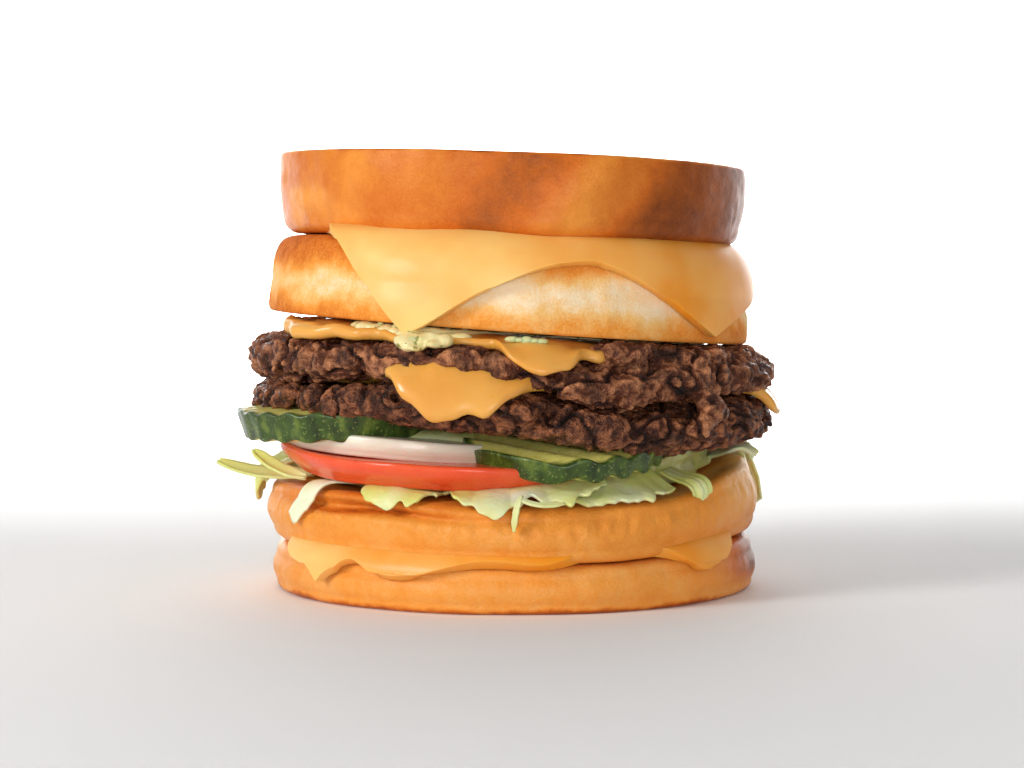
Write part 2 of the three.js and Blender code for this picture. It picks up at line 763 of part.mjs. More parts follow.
const leftPickleRoom = pickleSlice(LEFT_PICKLE, GAP);
const rightPickleRoom = pickleSlice(RIGHT_PICKLE, GAP);
const rightPickle = cutBy(pickleSlice(RIGHT_PICKLE), leftPickleRoom);
add("tomato_slice", cutBy(cutSlice(TOMATO), rightPickleRoom), COLOURS.tomato);
const tomatoRoom = cutSlice(TOMATO, 2 * GAP);
const onion = cutBy(cutSlice(ONION), rightPickleRoom, leftPickleRoom, tomatoRoom);
add("onion_slice", onion, COLOURS.onion);
add("pickle_slice_left", pickleSlice(LEFT_PICKLE), COLOURS.pickle);
add("pickle_slice_right", rightPickle, COLOURS.pickle);

const slicesAndPatty = [
  cutSlice(TOMATO, loose),
  cutSlice(ONION, loose),
  leftPickleRoom,
  rightPickleRoom,
  pattyRoom(lowerPatty(CRAG_ROOM)),
];
const heap = heapShreds.reduce((whole, one) => whole.add(one), heapCore);
add("lettuce_heap", cutBy(heap, ...slicesAndPatty), COLOURS.lettuce, COARSE);
for (const [name, solid] of Object.entries(leaves)) {
  add(name, cutBy(solid, ...slicesAndPatty), COLOURS.lettuce, FINE);
}

const slicesUnder = [
  cutSlice(ONION, loose),
  pickleSlice(LEFT_PICKLE, loose),
  pickleSlice(RIGHT_PICKLE, loose),
];
const lowerBeef = cutBy(pattySolid(lowerPatty(0), 4, 1), lowerMeltRoom, ...slicesUnder);
const raisedMelt = lowerMelt(0).translate([0, 0, 2 * GAP]);
const upperBeef = cutBy(pattySolid(upperPatty(0), 8, -1), lowerMeltRoom, raisedMelt, upperMeltRoom);
const upperMelted = cutBy(upperMelt(0), bunSolid(crownSlice), upperCheeseRoom);
add("patty_lower", lowerBeef, COLOURS.beef, ROUGH);
add("cheese_melted_lower", lowerMelt(0), COLOURS.meltedCheese);
add("patty_upper", upperBeef, COLOURS.beef, ROUGH);
add("cheese_melted_upper", upperMelted, COLOURS.meltedCheese);
add("sauce_spread", sauce, COLOURS.sauce, FINE);

add("bun_slice_upper_middle", cutBy(bunSolid(crownSlice), upperCheeseRoom), COLOURS.paleCrust);
add("cheese_slice_upper", upperCheese(0), COLOURS.cheese);
add("bun_slice_top", cutBy(bunSolid(topSlice), upperCheeseRoom), COLOURS.crust);

export default group;
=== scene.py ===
# %% [markdown]
# # A double cheeseburger with grilled cheese buns
# The real thing is a stack: a grilled cheese sandwich, salad, two smashed patties with melted cheese,
# and a second grilled cheese sandwich on top. The CAD frame holds one plain solid for each layer. Each
# layer is modelled again here at the same place, with its crags, folds and finish.

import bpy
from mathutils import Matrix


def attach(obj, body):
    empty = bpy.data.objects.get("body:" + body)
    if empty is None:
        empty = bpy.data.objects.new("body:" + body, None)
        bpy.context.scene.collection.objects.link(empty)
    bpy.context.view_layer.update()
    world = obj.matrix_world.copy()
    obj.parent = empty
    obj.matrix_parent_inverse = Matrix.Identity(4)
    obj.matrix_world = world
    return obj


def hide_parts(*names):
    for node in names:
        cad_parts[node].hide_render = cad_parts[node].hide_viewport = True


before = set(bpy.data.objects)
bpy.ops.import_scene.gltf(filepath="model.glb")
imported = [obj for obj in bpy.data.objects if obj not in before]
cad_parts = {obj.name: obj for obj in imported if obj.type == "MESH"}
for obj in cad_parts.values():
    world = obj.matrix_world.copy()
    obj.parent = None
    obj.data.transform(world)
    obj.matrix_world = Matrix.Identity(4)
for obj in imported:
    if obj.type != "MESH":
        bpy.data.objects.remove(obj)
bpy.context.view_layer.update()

# %% Other modules
import math
from random import Random

import bmesh
import bpy
from mathutils import Matrix, Vector, noise

# %% [markdown]
# ## Measures
# All shapes are worked out in millimetres, with +Z up, -Y the front and +X the right, and are scaled
# to metres as each mesh is finished. A bearing is an angle in degrees round the stack, 0 at the front
# and 90 on the right. The stack leans, so each layer lies between two levels that change with x.

# %% Measures of the stack
MM = 0.001
GAP = 0.3
BUN_RADIUS = 53
PATTY_RADIUS = 57
PATTY_THICKNESS = 9
CHEESE_THICKNESS = 2.4
MELT_THICKNESS = 2.2


def clamp(value, low=0.0, high=1.0):
    return max(low, min(high, value))


def mix(a, b, share):
    return a + (b - a) * share


def smoothstep(value, low, high):
    share = clamp((value - low) / (high - low))
    return share * share * (3 - 2 * share)


def level(middle, rise=0.0):
    return lambda x: middle + rise * x


LEVELS = {
    "base": level(0),
    "lower_seam": lambda x: 10 + 2 * smoothstep(x, 20, 50) + 0.8 * smoothstep(-x, 25, 50),
    "bed": lambda x: 22.8 + 5.8 * smoothstep(x, 30, 54) + 0.8 * smoothstep(-x, 36, 54),
    "patty_foot": level(35.3, -0.057),
    "patty_seam": level(44.5, -0.03),
    "patty_top": level(53, -0.06),
    "upper_bun_foot": level(56.6, -0.072),
    "upper_seam": level(75.6, -0.028),
    "top": level(92.6, -0.036),
}


def below(name):
    return lambda x: LEVELS[name](x) - GAP / 2


def above(name):
    return lambda x: LEVELS[name](x) + GAP / 2


print(f"The stack is {LEVELS['top'](0)} mm high in the middle and {2 * PATTY_RADIUS} mm wide.")

# %% [markdown]
# ## Shapes by bearing
# Nothing on food is evenly round. A hump is a soft rise round one bearing, so a corner, a dent or a
# lobe is one hump added to a plain circle. Noise gives the rest of the unevenness. Its size is the
# width of its lumps in millimetres, so it can be compared with what is seen.

# %% Humps, noise and places
def hump(bearing, centre, width):
    apart = (bearing - centre + 180) % 360 - 180
    return math.exp(-((apart / width) ** 2))


def lobe(bearing, centre, width):
    """A hump with a broad flat top."""
    apart = (bearing - centre + 180) % 360 - 180
    return math.exp(-((apart / width) ** 4))


def ripple(bearing, share):
    slow = math.sin(math.radians(3 * bearing + 40))
    quick = math.sin(math.radians(5 * bearing + 200 * share))
    return 0.008 * slow + 0.006 * quick


def rough(place, size, seed=0):
    return noise.noise(Vector(place) / size + Vector((seed * 7.31, 3.17, 5.73)))


def on_bearing(bearing, distance, z=0.0):
    angle = math.radians(bearing)
    return Vector((distance * math.sin(angle), -distance * math.cos(angle), z))


def bearing_of(place):
    return math.degrees(math.atan2(place.x, -place.y))


print("A bearing of 90 points along", on_bearing(90, 1))

# %% [markdown]
# ## Profiles
# A bun slice or a patty is round, so it is described by half of its section: a line of (r, height)
# points from the middle of its foot, up its side, to the middle of its top. Flat runs and quadratic
# bends are cut into short steps, so that the spun mesh is fine enough to take creases and crags.

# %% Flat runs and bends
def run(start, end, spacing):
    steps = max(1, round(math.dist(start, end) / spacing))
    return [tuple(Vector(start).lerp(Vector(end), i / steps)) for i in range(1, steps + 1)]


def bend(start, control, end, spacing):
    steps = max(2, math.ceil((math.dist(start, control) + math.dist(control, end)) / spacing))
    points = []
    for i in range(1, steps + 1):
        first = Vector(start).lerp(Vector(control), i / steps)
        second = Vector(control).lerp(Vector(end), i / steps)
        points.append(tuple(first.lerp(second, i / steps)))
    return points


def slice_profile(radius, thickness, foot, shoulder, top_radius=None, belly=None, face_spacing=2.5):
    top_radius = top_radius or radius
    belly = belly or radius
    foot_start, foot_end = (radius - foot[0], 0), (radius, foot[1])
    side_end = (top_radius, thickness - shoulder[1])
    shoulder_end = (top_radius - shoulder[0], thickness)
    return [
        (0, 0),
        *run((0, 0), foot_start, face_spacing),
        *bend(foot_start, (radius, 0), foot_end, 0.5),
        *bend(foot_end, (belly, (foot_end[1] + side_end[1]) / 2), side_end, 0.6),
        *bend(side_end, (top_radius, thickness), shoulder_end, 0.5),
        *run(shoulder_end, (0, thickness), face_spacing),
    ]


print("A plain slice has", len(slice_profile(BUN_RADIUS, 10, (2, 2), (3, 3))), "points in its section")

# %% [markdown]
# ## A layer of the stack
# `Layer` carries a profile from its own upright frame to the leaning stack. `settle` places a point of
# the layer, through its uneven outline and its sag. `on_skin` walks from the middle of the top, outwards
# and down the side, so that cheese and lettuce can be laid on a layer by distance along its skin.

# %% The layer class
class Layer:
    def __init__(self, profile, thickness, low, high, centre=(0, 0), outline=None, sag=None, hem=0):
        self.profile = profile
        self.thickness = thickness
        self.low = low
        self.high = high
        self.centre = centre
        self.outline = outline or (lambda bearing, share: 1)
        self.sag = sag or (lambda bearing, r, share: 0)
        self.path = [Vector(point) for point in reversed(profile) if point[1] >= hem]
        self.travelled = [0.0]
        for start, end in zip(self.path, self.path[1:]):
            self.travelled.append(self.travelled[-1] + (end - start).length)

    def settle(self, r, height, bearing):
        share = height / self.thickness
        at = on_bearing(bearing, r * self.outline(bearing, share))
        at.x += self.centre[0]
        at.y += self.centre[1]
        at.z = mix(self.low(at.x), self.high(at.x), share) - self.sag(bearing, r, share)
        return at

    def skin_point(self, distance):
        i = 1
        while i < len(self.path) - 1 and self.travelled[i] < distance:
            i += 1
        step = (self.path[i] - self.path[i - 1]).normalized()
        return self.path[i - 1] + step * (distance - self.travelled[i - 1])

    def on_skin(self, bearing, distance, lift):
        # The slope is taken over 3 mm, so that a sheet doesn't fold at the joins of the profile.
        along = (self.skin_point(distance + 1.5) - self.skin_point(distance - 1.5)).normalized()
        point = self.skin_point(distance)
        return self.settle(point.x - along.y * lift, point.y + along.x * lift, bearing)


# %% [markdown]
# ## From a bmesh to a piece
# Round layers are spun from their profile with `bmesh.ops.spin`, and then each vertex is moved by a
# formula. One sector is spun first and then copied round, which is much quicker than one long spin.
# A piece rides on the burger's one body, stands for its CAD node and takes its material. `tint` writes
# one number per vertex, which its material reads as an attribute.

# %% Spinning and finishing
SECTORS = 20


def spun(profile, around, place):
    bm = bmesh.new()
    line = [bm.verts.new((r, 0, height)) for r, height in profile]
    edges = [bm.edges.new(pair) for pair in zip(line, line[1:])]
    sector = 2 * math.pi / SECTORS
    turn = {"cent": (0, 0, 0), "axis": (0, 0, 1)}
    bmesh.ops.spin(bm, geom=line + edges, angle=sector, steps=around // SECTORS, **turn)
    whole = list(bm.verts) + list(bm.edges) + list(bm.faces)
    rest = 2 * math.pi - sector
    bmesh.ops.spin(bm, geom=whole, angle=rest, steps=SECTORS - 1, use_duplicate=True, **turn)
    bmesh.ops.remove_doubles(bm, verts=bm.verts, dist=1e-3)
    for vert in bm.verts:
        bearing = bearing_of(vert.co)
        vert.co = place(math.hypot(vert.co.x, vert.co.y), vert.co.z, bearing)
    bmesh.ops.recalc_face_normals(bm, faces=bm.faces)
    return bm


def tint(bm, name, value):
    layer = bm.verts.layers.float.new(name)
    for vert in bm.verts:
        vert[layer] = value(vert.co)


def finish_piece(name, bm, material, nodes):
    bmesh.ops.scale(bm, vec=(MM, MM, MM), verts=bm.verts)
    for face in bm.faces:
        face.smooth = True
    mesh = bpy.data.meshes.new(name)
    bm.to_mesh(mesh)
    bm.free()
    mesh.materials.append(material)
    piece = bpy.data.objects.new(name, mesh)
    bpy.context.scene.collection.objects.link(piece)
    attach(piece, "root")
    if nodes:
        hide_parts(*nodes)
    triangles = sum(len(polygon.vertices) - 2 for polygon in mesh.polygons)
    print(f"{name}: {triangles} triangles")
    return piece


def thicken(piece, thickness, edge=0.0):
    wall = piece.modifiers.new("wall", "SOLIDIFY")
    wall.thickness = thickness * MM
    wall.offset = 0
    if edge:
        rounding = piece.modifiers.new("edges", "BEVEL")
        rounding.width = edge * MM
        rounding.segments = 2
        rounding.limit_method = "ANGLE"
        rounding.angle_limit = math.radians(50)


# %% [markdown]
# ## Welding lumps into one skin
# Ground beef, sauce and salad are many lumps grown together. Modelling that skin by hand is hopeless.
# Balls that overlap a core are laid in one mesh, and a voxel remesh melts them into a single closed
# skin with true crevices between the lumps, which displacement alone can't make.

# %% Lumps and welding
BUNCH = 40


def add_lumps(bm, lumps):
    """Adds balls of (matrix, radius). They are made in bunches, as each call walks the whole mesh."""
    for first in range(0, len(lumps), BUNCH):
        bunch = bmesh.new()
        for matrix, radius in lumps[first : first + BUNCH]:
            bmesh.ops.create_icosphere(bunch, subdivisions=2, radius=radius, matrix=matrix)
        mesh = bpy.data.meshes.new("bunch")
        bunch.to_mesh(mesh)
        bunch.free()
        bm.from_mesh(mesh)
        bpy.data.meshes.remove(mesh)


def welded(bm, voxel):
    mesh = bpy.data.meshes.new("weld")
    bm.to_mesh(mesh)
    bm.free()
    lumps = bpy.data.objects.new("weld", mesh)
    bpy.context.scene.collection.objects.link(lumps)
    remesh = lumps.modifiers.new("weld", "REMESH")
    remesh.mode = "VOXEL"
    remesh.voxel_size = voxel
    skin = lumps.evaluated_get(bpy.context.evaluated_depsgraph_get()).to_mesh()
    result = bmesh.new()
    result.from_mesh(skin)
    bpy.data.objects.remove(lumps)
    bpy.data.meshes.remove(mesh)
    return result


# %% [markdown]
# ## Materials as expressions
# A material here is a small formula. `Number` wraps a socket, so that `1 - mask` or `a * b + c` adds
# Math nodes. `Finish` holds one material: `node` adds any other node, with its settings set first, and
# constants go straight on the shader's own sockets.

# %% Number and Finish
class Number:
    def __init__(self, finish, socket):
        self.finish = finish
        self.socket = socket

    def through(self, operation, *values):
        return self.finish.node("ShaderNodeMath", {"operation": operation}, dict(enumerate(values)))

    def __add__(self, other):
        return self.through("ADD", self, other)

    def __radd__(self, other):
        return self.through("ADD", other, self)

    def __sub__(self, other):
        return self.through("SUBTRACT", self, other)

    def __rsub__(self, other):
        return self.through("SUBTRACT", other, self)

    def __mul__(self, other):
        return self.through("MULTIPLY", self, other)

    def __rmul__(self, other):
        return self.through("MULTIPLY", other, self)


def colour(red, green, blue):
    """The colour of a paint chip, each part from 0 to 255, as a linear colour."""
    parts = [part / 255 for part in (red, green, blue)]
    return tuple(p / 12.92 if p <= 0.04045 else ((p + 0.055) / 1.055) ** 2.4 for p in parts) + (1,)


class Finish:
    def __init__(self, name, constants):
        self.material = bpy.data.materials.new(name)
        self.material.use_nodes = True
        self.tree = self.material.node_tree
        self.surface = self.tree.nodes["Principled BSDF"]
        for socket, value in constants.items():
            self.surface.inputs[socket].default_value = value
        self.place = self.node("ShaderNodeTexCoord", output="Object")

    def node(self, kind, settings=None, inputs=None, output=0):
        made = self.tree.nodes.new(kind)
        for setting, value in (settings or {}).items():
            if setting == "stops":
                self.set_stops(made.color_ramp, value)
            else:
                setattr(made, setting, value)
        for socket, value in (inputs or {}).items():
            self.feed(made.inputs[socket], value)
        return Number(self, made.outputs[output])

    def set_stops(self, ramp, stops):
        while len(ramp.elements) < len(stops):
            ramp.elements.new(1)
        for element, (position, shade) in zip(ramp.elements, stops):
            element.position = position
            element.color = shade

    def feed(self, socket, value):
        if isinstance(value, Number):
            self.tree.links.new(value.socket, socket)
        else:
            socket.default_value = value

    def paint(self, socket, value):
        self.feed(self.surface.inputs[socket], value)

    def attribute(self, name):
        return self.node("ShaderNodeAttribute", {"attribute_name": name}, output="Fac")

    def speckle(self, size, detail=2.0, stretch=(1, 1, 1)):
        """Noise whose lumps are about `size` millimetres across, from 0 to 1."""
        scale = tuple(part / (size * MM) for part in stretch)
        place = self.node("ShaderNodeMapping", inputs={"Vector": self.place, "Scale": scale})
        inputs = {"Vector": place, "Scale": 1.0, "Detail": detail}
        return self.node("ShaderNodeTexNoise", inputs=inputs, output="Fac")

    def range(self, value, low, high, to_low=0.0, to_high=1.0):
        inputs = {0: value, 1: low, 2: high, 3: to_low, 4: to_high}
        return self.node("ShaderNodeMapRange", {"interpolation_type": "SMOOTHSTEP"}, inputs)

    def ramp(self, value, stops):
        return self.node("ShaderNodeValToRGB", {"stops": stops}, {0: value}, output="Color")

    def blend(self, share, first, second):
        inputs = {0: share, 6: first, 7: second}
        return self.node("ShaderNodeMix", {"data_type": "RGBA"}, inputs, output=2)

    def bump(self, height, depth, strength=1.0):
        inputs = {"Height": height, "Distance": depth * MM, "Strength": strength}
        self.paint("Normal", self.node("ShaderNodeBump", inputs=inputs, output="Normal"))


# %% [markdown]
# ## Crust
# The buns are enriched white bread, buttered and griddled. Their crust runs from cream where it was
# not touched, through gold, to brown on the edges that met the griddle. How brown each spot is comes
# from the mesh as a vertex attribute, which on some slices also carries painted shade and a painted
# highlight, and the material adds blotches and fine pores.

# %% Crust material
CREAM = colour(246, 224, 188)
PALE_GOLD = colour(242, 192, 118)
GOLD = colour(236, 152, 60)
AMBER = colour(204, 104, 26)
BROWN = colour(112, 54, 16)


def crust_finish(name, gloss, grain):
    constants = {
        "Subsurface Weight": 0.06,
        "Subsurface Scale": 0.002,
        "Specular IOR Level": 0.2,
    }
    finish = Finish(name, constants)
    blotches = finish.speckle(11, 3) - 0.5
    mottle = finish.speckle(2.6, 4) - 0.5
    pores = finish.speckle(0.5, 3)
    # The attribute holds the browning, and on some slices painted shade and a painted highlight too.
    browned = finish.attribute("browned") + blotches * 0.24 + (mottle + pores - 0.5) * grain
    stops = [(0.0, CREAM), (0.25, PALE_GOLD), (0.5, GOLD), (0.75, AMBER), (1.0, BROWN)]
    finish.paint("Base Color", finish.ramp(browned, stops))
    finish.paint("Roughness", 1 - gloss + (mottle + blotches) * 0.25)
    finish.bump(pores * 0.6 + mottle, 0.35, 0.6)
    return finish.material


glossy_crust = crust_finish("buttered_crust", gloss=0.62, grain=0.14)
dry_crust = crust_finish("dry_crust", gloss=0.25, grain=0.34)
print("Crust finishes:", glossy_crust.name, "and", dry_crust.name)

# %% [markdown]
# ## The bottom slice
# The lowest slice stands on its griddled face. Its side is nearly upright and its foot is rounded. It
# is spun from its section, its upper rim ripples with the cheese that presses it, and small dents keep
# the side from looking turned on a lathe.

# %% Bottom slice
AROUND = 400


def dented(layer, depth, seed):
    """Places a point of a bun slice, with soft dents across it."""

    def place(r, height, bearing):
        at = layer.settle(r, height, bearing)
        side = smoothstep(r, layer.profile[-1][0] + 30, 50)
        dent = depth * (rough(at, 16, seed) + 0.4 * rough(at, 5, seed) + 0.16 * rough(at, 1.8, seed))
        return at + on_bearing(bearing, dent * side)

    return place


base_slice = Layer(
    slice_profile(BUN_RADIUS - 1, 10, foot=(2.2, 2), shoulder=(3.2, 2.8), belly=BUN_RADIUS + 0.8),
    thickness=10,
    hem=2,
    low=LEVELS["base"],
    high=below("lower_seam"),
    outline=lambda bearing, share: 1 + ripple(bearing, 0) * 0.4 * share,
)


def base_browning(at):
    singed = smoothstep(0.9 + 1.1 * rough(at, 9, 1) + 0.6 * rough(at, 2, 1) - at.z, -0.5, 0.7)
    griddled = 0.25 * smoothstep(-at.z, -0.4, 0)
    # The right end is painted darker: browner crust, and painted shade on the side away from the key light.
    lee = smoothstep(at.x, 38, 54) * smoothstep(at.z, 1, 6)
    return 0.47 + 0.36 * singed - griddled + 0.5 * lee


bm = spun(base_slice.profile, AROUND, dented(base_slice, 0.5, 1))
for vert in bm.verts:
    vert.co.z = max(0.0, vert.co.z)
tint(bm, "browned", base_browning)
finish_piece("bun_bottom_slice", bm, glossy_crust, ["bun_slice_bottom"])

# %% [markdown]
# ## The slice under the filling
# Above the lower cheese lies the second slice. The filling presses a bed into it, so its crust stands
# up on the right, and on the left it is creased under the tomato. The crease is a hump taken out of the
# outline at one height. Round it the crust wrinkles, which is noise stretched up the side.

# %% Slice with the bed
CREASE = {"bearing": -38, "width": 24, "share": 0.78, "depth": 0.04, "reach": 0.09}
WRINKLES = {"share": 0.66, "reach": 0.22, "depth": 0.75}


def bed_outline(bearing, share):
    crease = hump(bearing, CREASE["bearing"], CREASE["width"]) * CREASE["depth"]
    folded = crease * math.exp(-(((share - CREASE["share"]) / CREASE["reach"]) ** 2))
    return 1 + ripple(bearing, share) - folded


def bed_sag(bearing, r, share):
    pressed = 1.6 * hump(bearing, 4, 34) - 1.2 * hump(bearing, -42, 22)
    return pressed * smoothstep(r, 38, 54) * share


bed_slice = Layer(
    slice_profile(BUN_RADIUS - 0.5, 14, foot=(3.6, 3.2), shoulder=(3.2, 3), belly=BUN_RADIUS + 1.6),
    thickness=14,
    low=above("lower_seam"),
    high=LEVELS["bed"],
    outline=bed_outline,
    sag=bed_sag,
)


def in_fold(bearing, share):
    """1 in the sharp bottom of the crease, which wanders a little up and down."""
    middle = CREASE["share"] - 0.02 + 0.03 * math.sin(math.radians(9 * bearing))
    return hump(bearing, CREASE["bearing"], CREASE["width"]) * math.exp(-(((share - middle) / 0.035) ** 2))


def wrinkled_bed(r, height, bearing):
    at = dented(bed_slice, 0.5, 2)(r, height, bearing)
    share = height / bed_slice.thickness
    at += on_bearing(bearing, -1.3 * in_fold(bearing, share) * smoothstep(r, 44, 51))
    band = math.exp(-(((share - WRINKLES["share"]) / WRINKLES["reach"]) ** 2))
    cracks = noise.noise(Vector((bearing / 2.6, share * 2.2, 4.0)))
    fine = noise.noise(Vector((bearing / 0.9, share * 5.0, 9.0)))
    depth = WRINKLES["depth"] * band * (0.4 + 0.6 * hump(bearing, -15, 45))
    return at + on_bearing(bearing, depth * (cracks + 0.45 * fine)) * smoothstep(r, 40, 51)


def bed_browning(at):
    bearing = bearing_of(at)
    rim = smoothstep(at.z, LEVELS["bed"](at.x) - 5, LEVELS["bed"](at.x) - 1)
    low, high = LEVELS["lower_seam"](at.x), LEVELS["bed"](at.x)
    # The upper rim round the crease and the bottom of the fold are painted darker as painted shade.
    creased = 0.16 * rim * hump(bearing, -36, 44) + 0.3 * in_fold(bearing, (at.z - low) / (high - low))
    paler_end = 0.24 * smoothstep(at.x, 36, 56) * smoothstep(at.z, 14, 24)
    return 0.48 + creased - paler_end + 0.06 * smoothstep(at.x, -10, 40)


bm = spun(bed_slice.profile, 560, wrinkled_bed)
tint(bm, "browned", bed_browning)
finish_piece("bun_bed_slice", bm, glossy_crust, ["bun_slice_lower_middle"])

# %% [markdown]
# ## The crown under the hanging cheese
# The upper sandwich's lower slice has its domed side up. Its cut edge below is sharp and toasted, its
# side is pale and dry, and its shoulder is brown.

# %% Crown slice
def crown_outline(bearing, share):
    square = clamp((share - 0.44) / 0.56) ** 4
    return 1 + ripple(bearing, 0.3) + 0.1 * hump(bearing, -68, 34) * square


crown_slice = Layer(
    slice_profile(
        BUN_RADIUS - 0.6, 18, foot=(1, 1), shoulder=(12, 10), top_radius=BUN_RADIUS - 1.6
    ),
    thickness=18,
    hem=1,
    low=LEVELS["upper_bun_foot"],
    high=below("upper_seam"),
    centre=(-1.4, 0),
    outline=crown_outline,
)


def crown_browning(at):
    low, high = crown_slice.low(at.x), crown_slice.high(at.x)
    share = (at.z - low) / (high - low)
    wander = 0.1 * rough(at, 9, 3) + 0.05 * rough(at, 3, 3)
    shoulder = smoothstep(share + wander, 0.44, 0.8)
    foot = smoothstep(wander * 1.5 - share, -0.4, -0.06)
    sides = 0.2 * smoothstep(-at.x, 16, 50) + 0.14 * smoothstep(at.x, 20, 52)
    return 0.04 + 0.5 * shoulder + 0.42 * foot + sides


bm = spun(crown_slice.profile, AROUND, dented(crown_slice, 0.7, 3))
tint(bm, "browned", crown_browning)
finish_piece("bun_crown_slice", bm, dry_crust, ["bun_slice_upper_middle"])

# %% [markdown]
# ## The top slice
# The top slice lies upside down, so its edge is sharp above and rounded below. Its side is smooth and
# buttered, with a hollow and a ridge next to the front. Its upper face was pressed on the griddle.

# %% Top slice
HOLLOW = {"bearing": -8, "width": 11, "depth": 0.038, "slant": 6}
RIDGE = {"bearing": 14, "width": 11, "depth": -0.026, "slant": 16}


def dip(bearing, share, shape):
    return shape["depth"] * hump(bearing - shape["slant"] * (share - 0.5), shape["bearing"], shape["width"])


def top_outline(bearing, share):
    return 1 + 0.7 * ripple(bearing, 0.8) - dip(bearing, share, HOLLOW) - dip(bearing, share, RIDGE)


top_slice = Layer(
    slice_profile(
        BUN_RADIUS - 3.2,
        17,
        foot=(3.5, 4),
        shoulder=(0.8, 0.8),
        top_radius=BUN_RADIUS - 2.4,
        belly=BUN_RADIUS - 1.8,
        face_spacing=1.5,
    ),
    thickness=17,
    low=above("upper_seam"),
    high=LEVELS["top"],
    outline=top_outline,
)


def top_browning(at):
    low, high = top_slice.low(at.x), top_slice.high(at.x)
    share = (at.z - low) / (high - low)
    bearing = bearing_of(at)
    # The hollow and the right side behind the ridge are painted darker, partly as browner crust and partly
    # as painted shade. The ridge is painted paler as a painted highlight.
    in_hollow = hump(bearing - 12 * (share - 0.5), -1, 10)
    behind_ridge = smoothstep(bearing - 15 * (share - 0.5), 24, 38) * smoothstep(at.y, 20, 0)
    pale = 0.16 * hump(bearing, -58, 20) * smoothstep(rough(at, 9, 6), -0.1, 0.3)
    on_ridge = 0.1 * hump(bearing - 9 * (share - 0.5), 16, 4)
    side = 0.68 + 0.2 * in_hollow + 0.26 * behind_ridge - pale - on_ridge
    face = 0.66 + 0.3 * rough(at, 14, 4) + 0.3 * rough(at, 4, 4)
    return mix(side, face, smoothstep(at.z, high - 0.6, high - 0.1))


bm = spun(top_slice.profile, AROUND, dented(top_slice, 0.6, 4))
tint(bm, "browned", top_browning)
finish_piece("bun_top_slice", bm, glossy_crust, ["bun_slice_top"])

# %% [markdown]
# ## Sliced cheese
# A slice of processed cheese is a soft square. Inside the rim of the bread it lies flat, and each
# corner that sticks out folds down as a curtain. A fine grid is bent by the same rule: a point past
# the rim keeps its distance, but along the bread's skin instead of straight out.

# %% Cheese material
def cheese_finish(name, light, deep, roughness, coat):
    constants = {
        "Subsurface Weight": 0.35,
        "Subsurface Radius": (1.0, 0.5, 0.15),
        "Subsurface Scale": 0.003,
        "Coat Weight": coat,
        "Coat Roughness": 0.16,
        "Specular IOR Level": 0.35,
    }
    finish = Finish(name, constants)
    clouds = finish.range(finish.speckle(14, 2), 0.3, 0.7)
    # The attribute moves the colour to the deeper tone on the side away from the key light: deeper amber
    # and painted shade.
    share = clouds * 0.4 + finish.attribute("deep") * 0.6
    finish.paint("Base Color", finish.blend(share, light, deep))
    finish.paint("Roughness", roughness + (finish.speckle(5, 3) - 0.5) * 0.16)
    finish.bump(finish.speckle(3, 3), 0.25, 0.35)
    return finish.material


sliced_cheese = cheese_finish("sliced_cheese", colour(254, 203, 120), colour(242, 152, 34), 0.42, 0.1)
print("Cheese finish:", sliced_cheese.name)

# %% Square slices
CHEESE_BITE = 1.2  # how far a slice sinks into the bread where the next slice presses on it


def cheese_square(layer, clear, side, bow, rim, turn, centre, stretch, flow, swing, cells=110):
    """A slice whose sides bow out. It hangs from `rim` on, `clear` of the bread.

    By bearing, `stretch` multiplies how far it hangs, `flow` adds to how far its edge reaches, and
    `swing` turns the hanging part round the stack.
    """
    turned = Matrix.Rotation(math.radians(turn), 2)
    shift = Vector(centre)
    half = side / 2
    bm = bmesh.new()
    bmesh.ops.create_grid(bm, x_segments=cells, y_segments=cells, size=1)
    for vert in bm.verts:
        u, v = (math.sin(1.4 * t) / math.sin(1.4) for t in vert.co.xy)
        bowed = Vector((u * (half + bow * (1 - v * v)), v * (half + bow * (1 - u * u))))
        point = turned @ bowed + shift
        distance, bearing = point.length, bearing_of(point)
        if distance > rim:
            corner = Vector((-half if u < 0 else half, -half if v < 0 else half))
            corner = (turned @ corner + shift).normalized()
            across = point.x * corner.y - point.y * corner.x
            hang = point.dot(corner) - math.sqrt(rim * rim - across * across)
            turn_to = bearing_of(corner) - math.degrees(math.asin(across / rim)) - bearing
            share = smoothstep(1 - abs(across) / distance, 0.29, 0.95)
            bearing += share * ((turn_to + 180) % 360 - 180)
            distance = rim + mix(distance - rim, hang, share) * stretch(bearing)
        distance += flow(bearing) * smoothstep(max(abs(u), abs(v)), 0.3, 1)
        bearing += swing(bearing) * smoothstep(distance, rim, rim + 10)
        lift = mix(-CHEESE_BITE, clear, smoothstep(distance, rim - 14, rim + 2)) + CHEESE_THICKNESS / 2
        vert.co = layer.on_skin(bearing, distance / layer.outline(bearing, 1), lift)
        vert.co += on_bearing(bearing, 0.35 * rough(vert.co, 11, 5) * smoothstep(distance, rim, rim + 6))
    bmesh.ops.recalc_face_normals(bm, faces=bm.faces)
    return bm


def lower_stretch(bearing):
    side = abs(math.sin(math.radians(bearing / 2)))
    return 1 - 0.35 * side - 0.35 * hump(bearing, 47, 20) + 0.12 * hump(bearing, -47, 10)


def lower_flow(bearing):
    left_edge = 2.6 * hump(bearing, -60, 7) - hump(bearing, -39, 5) + 1.2 * hump(bearing, -29, 8)
    right_edge = 1.6 * lobe(bearing, 30, 30) + 0.8 * hump(bearing, 16, 16) + 2.2 * hump(bearing, 53, 11)
    return 8.6 * lobe(bearing, -8, 26) + left_edge + right_edge


def upper_stretch(bearing):
    front = 0.36 * hump(bearing, -22, 20)
    return 1 + front - 0.1 * hump(bearing, 62, 20) - 0.4 * hump(bearing, -118, 30)


